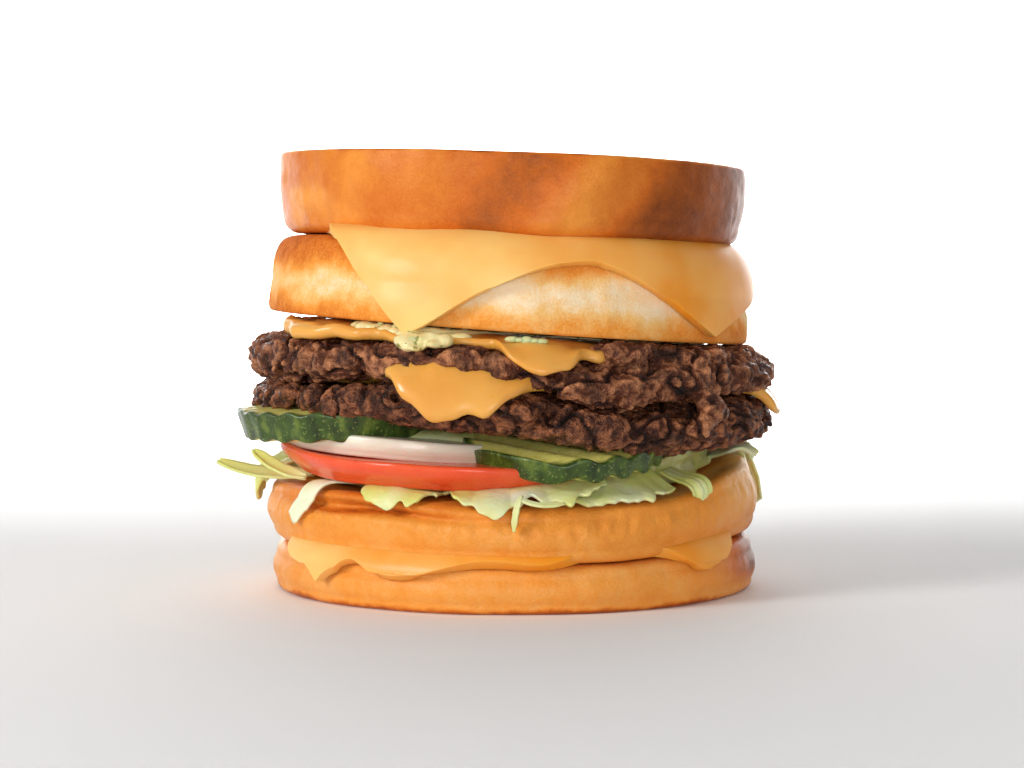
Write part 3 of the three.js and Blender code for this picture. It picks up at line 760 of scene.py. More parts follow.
def upper_swing(bearing):
    return -9 * hump(bearing, 60, 18)


def still(bearing):
    return 0.0


LOWER_SQUARE = dict(clear=0.8, side=81, bow=4, rim=48, turn=0, centre=(-0.5, 2))
UPPER_SQUARE = dict(clear=0.4, side=84, bow=5, rim=42, turn=17, centre=(5.2, -4.3))

bm = cheese_square(base_slice, **LOWER_SQUARE, stretch=lower_stretch, flow=lower_flow, swing=still)
# Paler at the left end, where the key light falls, and deeper further right: deeper amber and painted
# shade.
tint(bm, "deep", lambda at: smoothstep(at.x, -42, -18))
piece = finish_piece("cheese_slice_in_lower_bun", bm, sliced_cheese, ["cheese_slice_lower"])
thicken(piece, CHEESE_THICKNESS, 0.5)

bm = cheese_square(crown_slice, **UPPER_SQUARE, stretch=upper_stretch, flow=still, swing=upper_swing)
# Deeper towards the right, away from the key light: deeper amber and painted shade.
tint(bm, "deep", lambda at: smoothstep(at.x, -12, 36))
piece = finish_piece("cheese_slice_in_upper_bun", bm, sliced_cheese, ["cheese_slice_upper"])
thicken(piece, CHEESE_THICKNESS, 0.5)

# %% [markdown]
# ## Smashed patties
# Smashed patties are pressed out on the griddle until their rim tears into crumbs. Each patty is a
# plain core with some hundreds of lumps on its rim, welded into one skin. Fine noise along the normals
# then gives the seared, granular surface. Under the melted cheese and on the salad the beef is pressed
# flat, so only small lumps are kept there and they are sunk deeper.

# %% Beef material
CHAR = colour(48, 23, 12)


def beef_finish(name, dark, meat, fat):
    finish = Finish(name, {"IOR": 1.45, "Specular IOR Level": 0.45})
    patches = finish.speckle(6, 3)
    grains = finish.speckle(1.3, 4)
    fibres = finish.speckle(0.45, 2)
    char = finish.range(finish.speckle(4.5, 4), 0.48, 0.66)
    # The darkest colour stands for painted shade in the crevices, and the lightest is pale fat with painted
    # glints.
    seared = finish.ramp(
        finish.attribute("raised") * 0.45 + patches * 0.1 + grains * 0.3 + fibres * 0.15,
        [(0.28, dark), (0.5, meat), (0.7, fat)],
    )
    finish.paint("Base Color", finish.blend(char * 0.6, seared, CHAR))
    finish.paint("Roughness", 0.58 - finish.range(finish.speckle(1.6, 2), 0.46, 0.64) * 0.38)
    finish.bump(grains + fibres * 0.5, 1.4, 1.0)
    return finish.material


upper_beef = beef_finish("upper_beef", colour(18, 7, 3), colour(98, 48, 24), colour(214, 142, 96))
# The lower patty's beef is a darker copy of the upper one: painted shade under the upper patty.
lower_beef = beef_finish("lower_beef", colour(15, 6, 2), colour(74, 34, 16), colour(190, 118, 76))
print("Beef finishes:", upper_beef.name, "and", lower_beef.name)

# %% Patty shapes
def patty_profile():
    radius, edge, top = PATTY_RADIUS, PATTY_THICKNESS * 0.45, PATTY_THICKNESS
    return [
        (0, 0),
        *run((0, 0), (radius - edge, 0), 3),
        *bend((radius - edge, 0), (radius, 0), (radius, top / 2), 1.2),
        *bend((radius, top / 2), (radius, top), (radius - edge, top), 1.2),
        *run((radius - edge, top), (0, top), 3),
    ]


def seam_fold(bearing, r):
    """The upper patty's rim folds down on the front right, and the seam with it."""
    return (5 * hump(bearing, 22, 13) + 2.2 * hump(bearing, 42, 16)) * smoothstep(r, 46, 58)


def seam_shift(bearing, r):
    """The seam alone sinks on the left and rises in front, over the cheese that melted out."""
    return (3.2 * hump(bearing, -90, 30) - 3.8 * hump(bearing, -17, 19)) * smoothstep(r, 40, 57)


def lower_sag(bearing, r, share):
    droop = 2.6 * hump(bearing, 32, 36) - 1.2 * hump(bearing, -2, 16) - 2 * hump(bearing, -48, 30)
    return mix(droop * smoothstep(r, 40, 56), seam_fold(bearing, r) + seam_shift(bearing, r), share)


def upper_sag(bearing, r, share):
    return seam_fold(bearing, r) * (1 - 0.25 * share) + seam_shift(bearing, r) * (1 - share)


def lower_rim(bearing, share):
    dents = 0.03 * hump(bearing, 30, 20) + 0.02 * hump(bearing, 90, 30)
    return 0.985 + 0.022 * rough((bearing, 0, 11), 31) - dents


def upper_rim(bearing, share):
    flap = 0.012 * hump(bearing, 27, 22) - 0.02 * hump(bearing, 90, 30)
    return 0.985 + 0.03 * rough((bearing, 5, 3), 27) + flap


lower_patty = Layer(
    patty_profile(),
    PATTY_THICKNESS,
    low=LEVELS["patty_foot"],
    high=below("patty_seam"),
    outline=lower_rim,
    sag=lower_sag,
)
upper_patty = Layer(
    patty_profile(),
    PATTY_THICKNESS,
    low=above("patty_seam"),
    high=LEVELS["patty_top"],
    outline=upper_rim,
    sag=upper_sag,
)
print(f"Round its rim, a patty's skin is {lower_patty.travelled[-1]:.0f} mm from middle to middle")


# %% How far the melted slices reach
def lower_reach(bearing):
    front = 10 * lobe(bearing, -13, 22) + 6.5 * hump(bearing, -13, 12)
    back = 13 * hump(bearing, 168, 16) + 11 * hump(bearing, -128, 16)
    return 46 + front + 13 * hump(bearing, 78, 14) + back


def upper_reach(bearing):
    front = 7 * lobe(bearing, -30, 40) + 7.5 * lobe(bearing, 5.5, 8) + 3.5 * hump(bearing, 18, 7)
    sides = 2.4 * hump(bearing, -54, 12) - 5 * lobe(bearing, 50, 24) + 8 * hump(bearing, 98, 14)
    return 48 + front + sides + 10 * hump(bearing, 186, 17)


print(f"In front the cheese runs {lower_reach(-13):.0f} mm out below and {upper_reach(5):.0f} mm above")

# %% Crumbs
SKIN_TO_RIM = lower_patty.travelled[-1] / 2
CRUMBS = ((3.8, 5.4, 110), (2.1, 3.6, 330), (1.1, 1.8, 420))  # smallest and largest radius, how many
LARGEST_FLAT = 1.8  # the largest radius that shows where a patty is pressed
STRAY = 0.08  # the share of larger crumbs that still lie at the edge of the cheese


def chunk(random, at, size):
    tilt = Matrix.Rotation(random.uniform(-0.5, 0.5), 4, "X")
    turn = Matrix.Rotation(random.uniform(0, math.pi), 4, "Z")
    flat = Matrix.Diagonal((random.uniform(1.0, 1.5), 1, random.uniform(0.6, 0.9), 1))
    return (Matrix.Translation(at) @ turn @ tilt @ flat, size)


print(f"Each patty gets up to {sum(count for _, _, count in CRUMBS)} crumbs")

# %% Beef with its crumbs
CORE_RETREAT = 2.9
VOXEL = 0.6
CAVITY = {"bearing": 33, "width": 9}
CREVICES = {"apart": 7.5, "width": 0.09, "depth": 1.3}


def beef(patty, seed, reach, seam, extra=()):
    """Crumbs grown on a core. `seam` is 1 where the other patty lies above and -1 where below."""
    random = Random(seed)

    def opening(bearing, up):
        """How far the rims gape at the seam: a little all round, and most behind the flap."""
        gape = 0.12 + 1.4 * hump(bearing, CAVITY["bearing"], CAVITY["width"])
        return gape * smoothstep(up * seam, -0.1, 0.8)

    def core(r, height, bearing):
        at = patty.settle(r, height, bearing)
        rim = smoothstep(r, PATTY_RADIUS - 18, PATTY_RADIUS - 5)
        up = 2 * height / PATTY_THICKNESS - 1
        crag = 2.0 * rough(at, 6.5, seed) + 1.2 * rough(at, 3.1, seed) - CORE_RETREAT
        crag -= 3 * opening(bearing, up)
        at += on_bearing(bearing, crag * rim * math.sqrt(max(0.0, 1 - 0.8 * up * up)))
        at.z -= 0.2 * rim * CORE_RETREAT * up
        return at

    bm = spun(patty.profile, 180, core)
    lumps = list(extra)
    for size_low, size_high, count in CRUMBS:
        for _ in range(count):
            bearing = random.uniform(-180, 180)
            along = SKIN_TO_RIM + random.triangular(-14, 12, 0)
            size = random.uniform(size_low, size_high)
            past = along - SKIN_TO_RIM
            edge = along - reach(bearing)
            # Cheese above and the slices below press the crumbs flat, so only small ones show there.
            pressed = past > 3.5 or edge < -4 or (edge < 1.5 and random.random() > STRAY)
            if pressed and size > LARGEST_FLAT:
                continue
            sunk = mix(0.72, 0.95, smoothstep(abs(past), 3, 8)) + random.uniform(-0.06, 0.2)
            sunk += 0.3 * pressed + opening(bearing, -past / 6)
            lumps.append(chunk(random, patty.on_skin(bearing, along, -size * sunk), size))
    add_lumps(bm, lumps)
    bm = welded(bm, VOXEL)
    # Where a slow noise crosses zero it makes a crevice between two crumbs.
    bm.normal_update()
    raised = bm.verts.layers.float.new("raised")
    moved = []
    for vert in bm.verts:
        wandering = abs(rough(vert.co, CREVICES["apart"], seed + 3))
        crevice = 1 - smoothstep(wandering, 0.0, CREVICES["width"])
        grain = 0.5 * rough(vert.co, 2.6, seed) + 0.55 * rough(vert.co, 1.25, seed + 1)
        # Crevices are painted dark as painted shade, and raised grains lighter as a painted highlight.
        vert[raised] = clamp(0.6 + 0.6 * grain - 0.6 * crevice)
        moved.append(vert.co + vert.normal * (grain - CREVICES["depth"] * crevice))
    for vert, place in zip(bm.verts, moved):
        vert.co = place
    return bm


# %% Loose pieces and both patties
TONGUE = {"bearing": 43, "reach": 57.5, "foot": 35.5, "root": 42}
HEAPED = {"bearings": (22, 88), "distances": (44, 54), "sizes": (1.8, 3.2), "piles": 44}


def hanging_tongue():
    """A torn piece of the upper patty that hangs over the lower one."""
    random = Random(3)
    lumps = []
    for i in range(7):
        height = mix(TONGUE["root"], TONGUE["foot"], i / 6)
        at = on_bearing(TONGUE["bearing"] + 2.5 * math.sin(i), TONGUE["reach"], height)
        lumps.append(chunk(random, at, 2.9 - 0.15 * i))
    return lumps


def heaped_rim():
    """Crumbs in small piles, from the upper patty's flap up to the bun on the right."""
    random = Random(5)
    lumps = []
    for _ in range(HEAPED["piles"]):
        size = random.uniform(*HEAPED["sizes"])
        bearing, distance = random.uniform(*HEAPED["bearings"]), random.uniform(*HEAPED["distances"])
        foot = upper_patty.on_skin(bearing, distance, 0)
        head = LEVELS["upper_bun_foot"](foot.x) - 0.4 - 0.7 * size
        height = max(0.0, head - foot.z) * smoothstep(distance, 56, 51)
        for share in (0.4, 0.9):
            lumps.append(chunk(random, foot + Vector((0, 0, share * height)), size))
    return lumps


bm = beef(lower_patty, 4, lower_reach, 1)
finish_piece("beef_patty_lower", bm, lower_beef, ["patty_lower"])
bm = beef(upper_patty, 8, upper_reach, -1, hanging_tongue() + heaped_rim())
finish_piece("beef_patty_upper", bm, upper_beef, ["patty_upper"])

# %% [markdown]
# ## Melted cheese
# On each patty lies a slice that has melted: no corners are left, only lobes that ran over the rim. It
# is spun like a round layer, where r is the share of the way to its edge, and `reach` says how far the
# cheese ran on each bearing. The edge of the profile is rounded, because melted cheese ends in a bead.

# %% Melted slices
melted_cheese = cheese_finish("melted_cheese", colour(234, 172, 80), colour(220, 138, 38), 0.3, 0.35)


def melt_profile(rings=46, bead=6):
    under = [(i / rings * 0.985, 0.0) for i in range(rings + 1)]
    edge = [
        (0.985 + 0.015 * math.sin(math.pi * i / bead), 0.5 - 0.5 * math.cos(math.pi * i / bead))
        for i in range(1, bead)
    ]
    over = [(i / rings * 0.985, 1.0) for i in range(rings, -1, -1)]
    return under + edge + over


def melted(patty, reach, swell, seed):
    """A melted slice. swell(bearing) is how much thicker it lies on the patty's rim."""

    def place(share, side, bearing):
        spot = on_bearing(bearing, 50)
        ragged = 1.8 * rough(spot, 9, seed) + 1.0 * rough(spot, 3.5, seed)
        distance = share * (reach(bearing) + ragged * smoothstep(share, 0.8, 1))
        at = on_bearing(bearing, distance)
        wave = (0.6 * rough(at, 9, seed) + 0.35 * rough(at, 4, seed)) * smoothstep(distance, 30, 50)
        on_rim = math.exp(-(((distance - 51) / 6) ** 2))
        bead = 1 - 0.35 * smoothstep(share, 0.84, 0.94) + 0.3 * smoothstep(share, 0.94, 0.99)
        thickness = (MELT_THICKNESS + swell(bearing) * on_rim) * bead
        lift = GAP + smoothstep(distance, 56, 60) + wave
        return patty.on_skin(bearing, distance, lift + side * thickness)

    return spun(melt_profile(), 360, place)


def lower_swell(bearing):
    return 1.8 * lobe(bearing, -13, 22)


def upper_swell(bearing):
    return 1.3 * lobe(bearing, -26, 42)


bm = melted(lower_patty, lower_reach, lower_swell, 6)
finish_piece("melted_slice_lower", bm, melted_cheese, ["cheese_melted_lower"])
bm = melted(upper_patty, upper_reach, upper_swell, 7)
finish_piece("melted_slice_upper", bm, melted_cheese, ["cheese_melted_upper"])

# %% [markdown]
# ## Dressing
# A pale dressing with chopped relish is squeezed out under the upper bun. It is a thin spread with a
# lobe at the front left. Over the lobe lie blobs, which are welded balls smoothed until they look wet,
# and chopped bits.

# %% Dressing
DRESSING_CREAM = colour(246, 232, 180)
DRESSING_YELLOW = colour(226, 212, 138)
RELISH_GREEN = colour(150, 146, 70)


def dressing_finish():
    constants = {"Subsurface Weight": 0.3, "Subsurface Scale": 0.002, "Coat Weight": 0.4}
    finish = Finish("relish_dressing", constants)
    bits = finish.range(finish.speckle(1.4, 1), 0.62, 0.7)
    cream = finish.blend(finish.speckle(5, 2), DRESSING_CREAM, DRESSING_YELLOW)
    finish.paint("Base Color", finish.blend(bits, cream, RELISH_GREEN))
    finish.paint("Roughness", 0.25 + bits * 0.15)
    finish.bump(finish.speckle(1.2, 2), 0.5, 0.6)
    return finish.material


relish_dressing = dressing_finish()
DRESSING_LOBE = {"bearing": -19, "width": 10, "reach": 11}


def dressing_place(share, side, bearing):
    on_lobe = DRESSING_LOBE["reach"] * hump(bearing, DRESSING_LOBE["bearing"], DRESSING_LOBE["width"])
    distance = share * (43 + 2 * rough((bearing, 1, 8), 25) + on_lobe)
    at = upper_patty.on_skin(bearing, distance, MELT_THICKNESS + 3 * GAP)
    room = LEVELS["upper_bun_foot"](at.x) - GAP - at.z
    at.z += side * clamp(room, 0.25, 1.8) + 0.3 * side * rough(at, 3, 2) * smoothstep(share, 0.7, 0.9)
    return at


bm = spun(melt_profile(), 200, dressing_place)
finish_piece("dressing_spread", bm, relish_dressing, ["sauce_spread"])

# %% Blobs and chopped bits
BLOB_BEARINGS = (-42, -11, -24)  # from, to and most often
random = Random(21)


def splash(count, low, high, lift):
    """Small flattened lumps over the lobe of the dressing."""
    lumps = []
    for _ in range(count):
        bearing = random.triangular(*BLOB_BEARINGS)
        along = random.uniform(45, 53 + 5 * hump(bearing, -19, 7))
        at = upper_patty.on_skin(bearing, along, MELT_THICKNESS + lift)
        flat = Matrix.Diagonal((random.uniform(1, 1.8), 1, random.uniform(0.5, 0.9), 1))
        turn = Matrix.Rotation(random.uniform(0, math.pi), 4, "Z")
        lumps.append((Matrix.Translation(at) @ turn @ flat, random.uniform(low, high)))
    return lumps


bm = bmesh.new()
add_lumps(bm, splash(90, 1.1, 2.3, 0.7))
bm = welded(bm, 0.35)
for _ in range(6):
    bmesh.ops.smooth_vert(bm, verts=bm.verts, factor=0.5, use_axis_x=True, use_axis_y=True, use_axis_z=True)
finish_piece("dressing_blobs", bm, relish_dressing, [])

chopped = Finish("chopped_onion_and_pickle", {"Subsurface Weight": 0.4, "Subsurface Scale": 0.002})
onion_or_pickle = chopped.blend(chopped.speckle(6, 1), colour(226, 228, 180), colour(170, 178, 96))
chopped.paint("Base Color", onion_or_pickle)
chopped.paint("Roughness", 0.25 + chopped.speckle(2, 2) * 0.2)
bm = bmesh.new()
slivers = []
for i in range(5):
    flat = Matrix.Diagonal((1.5, 1, 0.7 + 0.2 * math.sin(4 * i), 1))
    slivers.append((Matrix.Translation(on_bearing(-0.5 + 1.6 * i, 52.2, 55.2 - 0.1 * i)) @ flat, 1.0))
add_lumps(bm, [*splash(26, 0.4, 0.8, 2.2), *slivers])
finish_piece("chopped_bits", bm, chopped.material, [])

# %% [markdown]
# ## Cut vegetables
# Tomato and onion are round slices. Each is spun from a short profile. The tomato's skin leans in
# below, because the slice comes from near the fruit's end.

# %% Tomato and onion
def cut_slice(centre, radius, z, thickness, rise, taper, curl, seed, edge=0.9, wobble=0.8):
    half = thickness / 2
    low, high = (radius - taper - edge, -half), (radius - edge, half)
    side_low, side_high = (radius - taper * 0.8, -half + edge), (radius, half - edge)
    belly = (radius + 0.4 - taper * 0.15, 0)
    profile = [
        (0, -half),
        *run((0, -half), low, 1.5),
        *bend(low, (radius - taper, -half), side_low, 0.25),
        *bend(side_low, belly, side_high, 0.4),
        *bend(side_high, (radius, half), high, 0.25),
        *run(high, (0, half), 1.0),
    ]

    def place(r, height, bearing):
        grown = r * (1 + 0.012 * math.sin(math.radians(3 * bearing)))
        at = on_bearing(bearing, grown)
        dent = wobble * rough(at, 12, seed) * smoothstep(r, radius * 0.5, radius)
        at = on_bearing(bearing, grown + dent, z + height + 0.3 * dent)
        at.z += rise * at.x + curl * max(0.0, -at.x / radius - 0.55) ** 2
        return at + Vector((*centre, 0))

    return spun(profile, 300, place)


TOMATO_ORANGE = colour(244, 106, 58)
TOMATO_RED = colour(226, 62, 26)
ONION_WHITE = colour(240, 232, 216)
ONION_SHADE = colour(224, 206, 182)


def tomato_finish():
    constants = {
        "Subsurface Weight": 0.2,
        "Subsurface Scale": 0.002,
        "Coat Weight": 0.3,
        "Coat Roughness": 0.12,
        "Specular IOR Level": 0.35,
    }
    finish = Finish("tomato_flesh", constants)
    streaks = finish.speckle(6, 3, stretch=(1, 1, 0.4))
    finish.paint("Base Color", finish.blend(streaks, TOMATO_ORANGE, TOMATO_RED))
    finish.paint("Roughness", 0.3 + (finish.speckle(3, 2) - 0.5) * 0.2)
    finish.bump(finish.speckle(4, 3), 0.3, 0.4)
    return finish.material


def onion_finish():
    constants = {
        "Subsurface Weight": 0.35,
        "Subsurface Scale": 0.003,
        "Coat Weight": 0.3,
        "Coat Roughness": 0.15,
    }
    finish = Finish("raw_onion", constants)
    streaks = finish.speckle(5, 3, stretch=(1, 1, 3))
    finish.paint("Base Color", finish.blend(streaks, ONION_WHITE, ONION_SHADE))
    finish.paint("Roughness", 0.32 + (streaks - 0.5) * 0.2)
    finish.bump(streaks, 0.3, 0.5)
    return finish.material


TOMATO = dict(centre=(-12.5, -14), radius=37, z=27.1, thickness=5.4, rise=-0.045, taper=4.5, curl=8)
ONION = dict(centre=(-22, -16), radius=27.5, z=32.3, thickness=4.4, rise=-0.085, taper=0.8, curl=0)
bm = cut_slice(**TOMATO, seed=3)
finish_piece("tomato_round", bm, tomato_finish(), ["tomato_slice"])
bm = cut_slice(**ONION, seed=5)
finish_piece("onion_round", bm, onion_finish(), ["onion_slice"])

# %% [markdown]
# ## Crinkle-cut pickles
# A crinkle cutter leaves waves on both faces, so the rind's edges are scalloped. A round slab is spun,
# waved across one direction and tilted. Its attribute `rind` is 1 on the skin and 0 on the flesh.

# %% Pickle shapes
CRINKLE = {"pitch": 5.6, "depth": 0.6}
SKIN_LEAN = 0.3


def pickle_slice(centre, radius, z, thickness, rise, lean, turn, worn, seed):
    half = thickness / 2
    inner = radius - SKIN_LEAN * thickness
    corner_low, corner_high = (inner - 0.5, -half), (radius - 0.5, half)
    profile = [
        (0, -half),
        *run((0, -half), corner_low, 0.9),
        *bend(corner_low, (inner, -half), (inner + 0.2, -half + 0.5), 0.3),
        *run((inner + 0.2, -half + 0.5), (radius, half - 0.5), 0.4),
        *bend((radius, half - 0.5), (radius, half), corner_high, 0.3),
        *run(corner_high, (0, half), 0.9),
    ]
    turned = math.radians(turn)

    def place(r, height, bearing):
        at = on_bearing(bearing, r)
        across = at.x * math.cos(turned) + at.y * math.sin(turned)
        at += on_bearing(bearing, 0.5 * rough(at, 7, seed) * smoothstep(r, radius * 0.7, radius))
        wave = (1 - worn) * CRINKLE["depth"] * math.sin(2 * math.pi * across / CRINKLE["pitch"])
        at.z = z + height + wave
        at.z += rise * at.x + lean * at.y
        return at + Vector((*centre, 0))

    return spun(profile, 260, place)


LEFT_PICKLE = dict(
    centre=(-36.5, -20), radius=22, z=37.4, thickness=5.8, rise=0.03, lean=0.02, turn=-45, worn=0.45
)
RIGHT_PICKLE = dict(
    centre=(11, -31), radius=21.5, z=32.9, thickness=4.2, rise=0.01, lean=0.2, turn=55, worn=0
)


def pickle_rind(pickle):
    inner = pickle["radius"] - SKIN_LEAN * pickle["thickness"]
    centre = Vector(pickle["centre"])

    def value(at):
        from_middle = at.xy - centre
        slab = pickle["z"] + pickle["rise"] * from_middle.x + pickle["lean"] * from_middle.y
        skin = inner + SKIN_LEAN * (at.z - slab + pickle["thickness"] / 2)
        return smoothstep(from_middle.length, skin - 1.5, skin - 0.9)

    return value


# %% Pickle material
RIND_DARK = colour(30, 48, 12)
RIND_GREEN = colour(62, 86, 24)
RIND_LIGHT = colour(112, 130, 46)
RIND_FLECK = colour(150, 164, 80)
FLESH_LIGHT = colour(240, 232, 140)
FLESH_GREEN = colour(198, 190, 78)


def pickle_finish():
    constants = {
        "Subsurface Weight": 0.1,
        "Subsurface Scale": 0.002,
        "Coat Weight": 0.3,
        "Coat Roughness": 0.18,
        "Specular IOR Level": 0.35,
    }
    finish = Finish("pickle_rind_and_flesh", constants)
    flecks = finish.range(finish.speckle(0.6, 1), 0.62, 0.72)
    streaks = finish.speckle(2.4, 4, stretch=(1, 1, 0.5))
    rind = finish.ramp(streaks, [(0.3, RIND_DARK), (0.55, RIND_GREEN), (0.75, RIND_LIGHT)])
    rind = finish.blend(flecks * 0.6, rind, RIND_FLECK)
    flesh = finish.blend(streaks, FLESH_LIGHT, FLESH_GREEN)
    finish.paint("Base Color", finish.blend(finish.attribute("rind"), flesh, rind))
    finish.paint("Roughness", 0.34 + (streaks - 0.5) * 0.2)
    finish.bump(finish.speckle(1.6, 3) + flecks * 0.5, 0.4, 0.6)
    return finish.material


pickle_skin = pickle_finish()
for name, node, pickle, seed in (
    ("pickle_round_left", "pickle_slice_left", LEFT_PICKLE, 1),
    ("pickle_round_right", "pickle_slice_right", RIGHT_PICKLE, 2),
):
    bm = pickle_slice(**pickle, seed=seed)
    tint(bm, "rind", pickle_rind(pickle))
    finish_piece(name, bm, pickle_skin, [node])

# %% [markdown]
# ## Lettuce
# Torn leaves lie on the bread's rim and hang over it. A leaf is a grid laid on the bread's skin. It
# stands off the bread where it comes out from under the tomato and touches it at its hem. Its edge is
# torn by noise and its ruffles grow towards the hem, as on a real leaf, whose edge grew faster. A leaf
# doesn't follow the crease in the bread but bridges it. Loose shreds are strips along a bent curve.

# %% Lettuce material
LEAF_LIGHT = colour(232, 234, 146)
LEAF_GREEN = colour(198, 204, 100)
RIB_WHITE = colour(246, 248, 226)
RIB_SHADE = colour(226, 232, 186)


def lettuce_finish():
    constants = {"Subsurface Weight": 0.25, "Subsurface Scale": 0.002, "IOR": 1.4}
    finish = Finish("lettuce_leaf", constants)
    veins = finish.speckle(4, 3, stretch=(1, 1, 0.35))
    pale = finish.attribute("pale")
    green = finish.blend(veins, LEAF_LIGHT, LEAF_GREEN)
    white = finish.blend(veins, RIB_WHITE, RIB_SHADE)
    finish.paint("Base Color", finish.blend(pale, green, white))
    finish.paint("Roughness", 0.42 + (veins - 0.5) * 0.2)
    finish.bump(veins + finish.speckle(1.2, 3) * 0.4, 0.5, 0.6)
    return finish.material


lettuce_leaf = lettuce_finish()
print("Lettuce finish:", lettuce_leaf.name)

# %% The bread that the leaves lie on
LEAF_THICKNESS = 0.6

# Leaves bridge the crease of the bread, so they lie on the same slice without it.
leaf_bed = Layer(
    bed_slice.profile,
    bed_slice.thickness,
    low=bed_slice.low,
    high=bed_slice.high,
    outline=lambda bearing, share: 1 + ripple(bearing, share),
    sag=bed_sag,
)
front_rim = leaf_bed.settle(BUN_RADIUS, leaf_bed.thickness / 2, 0).xy.length
print(f"At the front the leaves hang on bread that reaches {front_rim:.0f} mm out")


# %% Leaves on the rim
def hem_at(hem, u):
    """How far the hem reaches at u, along a soft line through its points."""
    for (start, low), (end, high) in zip(hem, hem[1:]):
        if u <= end:
            return mix(low, high, smoothstep(u, start, end))
    return hem[-1][1]


def leaf(
    bearing,
    width,
    inner,
    outer,
    stand,
    hem,
    low=(1, 1),
    arch=0.0,
    ruffle=0.5,
    tear=0.1,
    waves=1.5,
    slant=0.0,
    taper=0.0,
    paleness=0.3,
    cells=(80, 30),
    bm=None,
):
    bm = bm or bmesh.new()
    pale = bm.verts.layers.float.get("pale") or bm.verts.layers.float.new("pale")
    made = bmesh.ops.create_grid(bm, x_segments=cells[0], y_segments=cells[1], size=0.5)
    for vert in made["verts"]:
        u, v = vert.co.x + 0.5, 0.5 - vert.co.y
        ragged = tear * noise.noise(Vector((u * width / 2.6, 3.0, bearing)))
        reach = hem_at(hem, u) + ragged * v
        wave = abs(ruffle * math.sin(2 * math.pi * waves * u + bearing) * v)
        wave += 0.6 * ruffle * noise.noise(Vector((u * width / 4, v * 2, bearing))) * v
        inside = mix(*stand, u) + arch * math.sin(math.pi * u)
        lift = mix(inside, mix(*low, u), v) + wave + LEAF_THICKNESS / 2
        at = bearing + (u - 0.5) * width * (1 - taper * v * v) + slant * v
        vert.co = leaf_bed.on_skin(at, inner + (outer - inner) * v * reach, lift)
        rib = math.exp(-(((u - 0.62 + 0.12 * v) / 0.1) ** 2))
        side_rib = math.exp(-(((u - 0.3 - 0.1 * v) / 0.07) ** 2))
        ribs = 0.5 * (rib + side_rib) * (1 - 0.5 * v)
        vert[pale] = clamp(paleness + ribs + 0.6 * rough(vert.co, 5, 7))
    return bm


LEAVES = {
    "lettuce_leaf_front": dict(
        bearing=3,
        width=42,
        inner=43,
        outer=54,
        stand=(2.5, 5),
        low=(1, 3.2),
        hem=((0, 0.3), (0.17, 0.8), (0.33, 1), (0.5, 0.7), (0.7, 0.82), (0.88, 0.6), (1, 0.3)),
        ruffle=0.9,
        waves=2.5,
        paleness=0.35,
    ),
    "lettuce_leaf_front_left": dict(
        bearing=-29,
        width=21.5,
        inner=45,
        outer=54,
        stand=(1, 1),
        arch=1.6,
        hem=((0, 0.35), (0.3, 0.9), (0.5, 1), (0.8, 0.85), (1, 0.4)),
        tear=0.22,
        paleness=0.1,
    ),
    "lettuce_leaf_front_right": dict(
        bearing=26,
        width=32,
        inner=40,
        outer=51.5,
        stand=(1.2, 6.5),
        hem=((0, 0.8), (0.2, 1), (0.6, 1), (1, 0.8)),
        ruffle=0.4,
        paleness=0.25,
    ),
    "lettuce_strip_left": dict(
        bearing=-49,
        width=6.5,
        inner=46,
        outer=59.5,
        stand=(1.6, 1.6),
        hem=((0, 0.86), (0.4, 1), (1, 0.8)),
        tear=0.01,
        ruffle=0.1,
        waves=0.5,
        slant=-7,
        paleness=1.0,
    ),
    "lettuce_shred_right": dict(
        bearing=45.5,
        width=5.5,
        inner=44,
        outer=54.5,
        stand=(5, 5.5),
        hem=((0, 0.8), (0.5, 1), (1, 0.85)),
        ruffle=0.5,
        paleness=0.0,
    ),
}
for node, shape in LEAVES.items():
    piece = finish_piece(node.replace("lettuce", "torn"), leaf(**shape), lettuce_leaf, [node])
    thicken(piece, LEAF_THICKNESS)


# %% Shreds at the left
def quadratic(points, share):
    first = points[0].lerp(points[1], share)
    return first.lerp(points[1].lerp(points[2], share), share)


def shred(points, width, curl=0.8, paleness=0.2):
    points = [Vector(point) for point in points]
    bm = bmesh.new()
    pale = bm.verts.layers.float.new("pale")
    bmesh.ops.create_grid(bm, x_segments=40, y_segments=8, size=0.5)
    for vert in bm.verts:
        u, v = vert.co.x + 0.5, vert.co.y
        ahead = quadratic(points, u + 0.01) - quadratic(points, u - 0.01)
        across = ahead.cross(Vector((0, -0.4, 0.92))).normalized()
        narrow = 1 - 0.75 * (2 * u - 1) ** 4 + 0.12 * noise.noise(Vector((u * 8, width, 2)))
        at = quadratic(points, u) + across * v * width * narrow
        at.z += LEAF_THICKNESS / 2 - curl * math.cos(math.pi * v)
        vert.co = at
        vert[pale] = clamp(paleness + 0.4 * (1 - u))
    return bm


SHREDS = {
    "lettuce_shred_far_left": dict(
        points=[(-43, -12, 25.4), (-54, -13, 24), (-64, -9, 27.8)],
        width=4.2,
        paleness=0,
    ),
    "lettuce_shred_near_left": dict(
        points=[(-43.5, -27, 25.8), (-49, -26, 26.4), (-55, -22, 31)],
        width=3.4,
        paleness=0,
    ),
}
for node, shape in SHREDS.items():
    piece = finish_piece(node.replace("lettuce", "torn"), shred(**shape), lettuce_leaf, [node])
    thicken(piece, LEAF_THICKNESS)

STRANDS = {
    "torn_strand_hanging": dict(points=[(1.5, -53.5, 24), (0.2, -56, 22), (0, -55.2, 17)], width=1.3),
    "torn_strand_front": dict(points=[(1, -54, 23.5), (5, -56, 21.5), (10, -54, 22.6)], width=1.2),
}
for name, shape in STRANDS.items():
    piece = finish_piece(name, shred(**shape, curl=0.2), lettuce_leaf, [])
    thicken(piece, LEAF_THICKNESS)

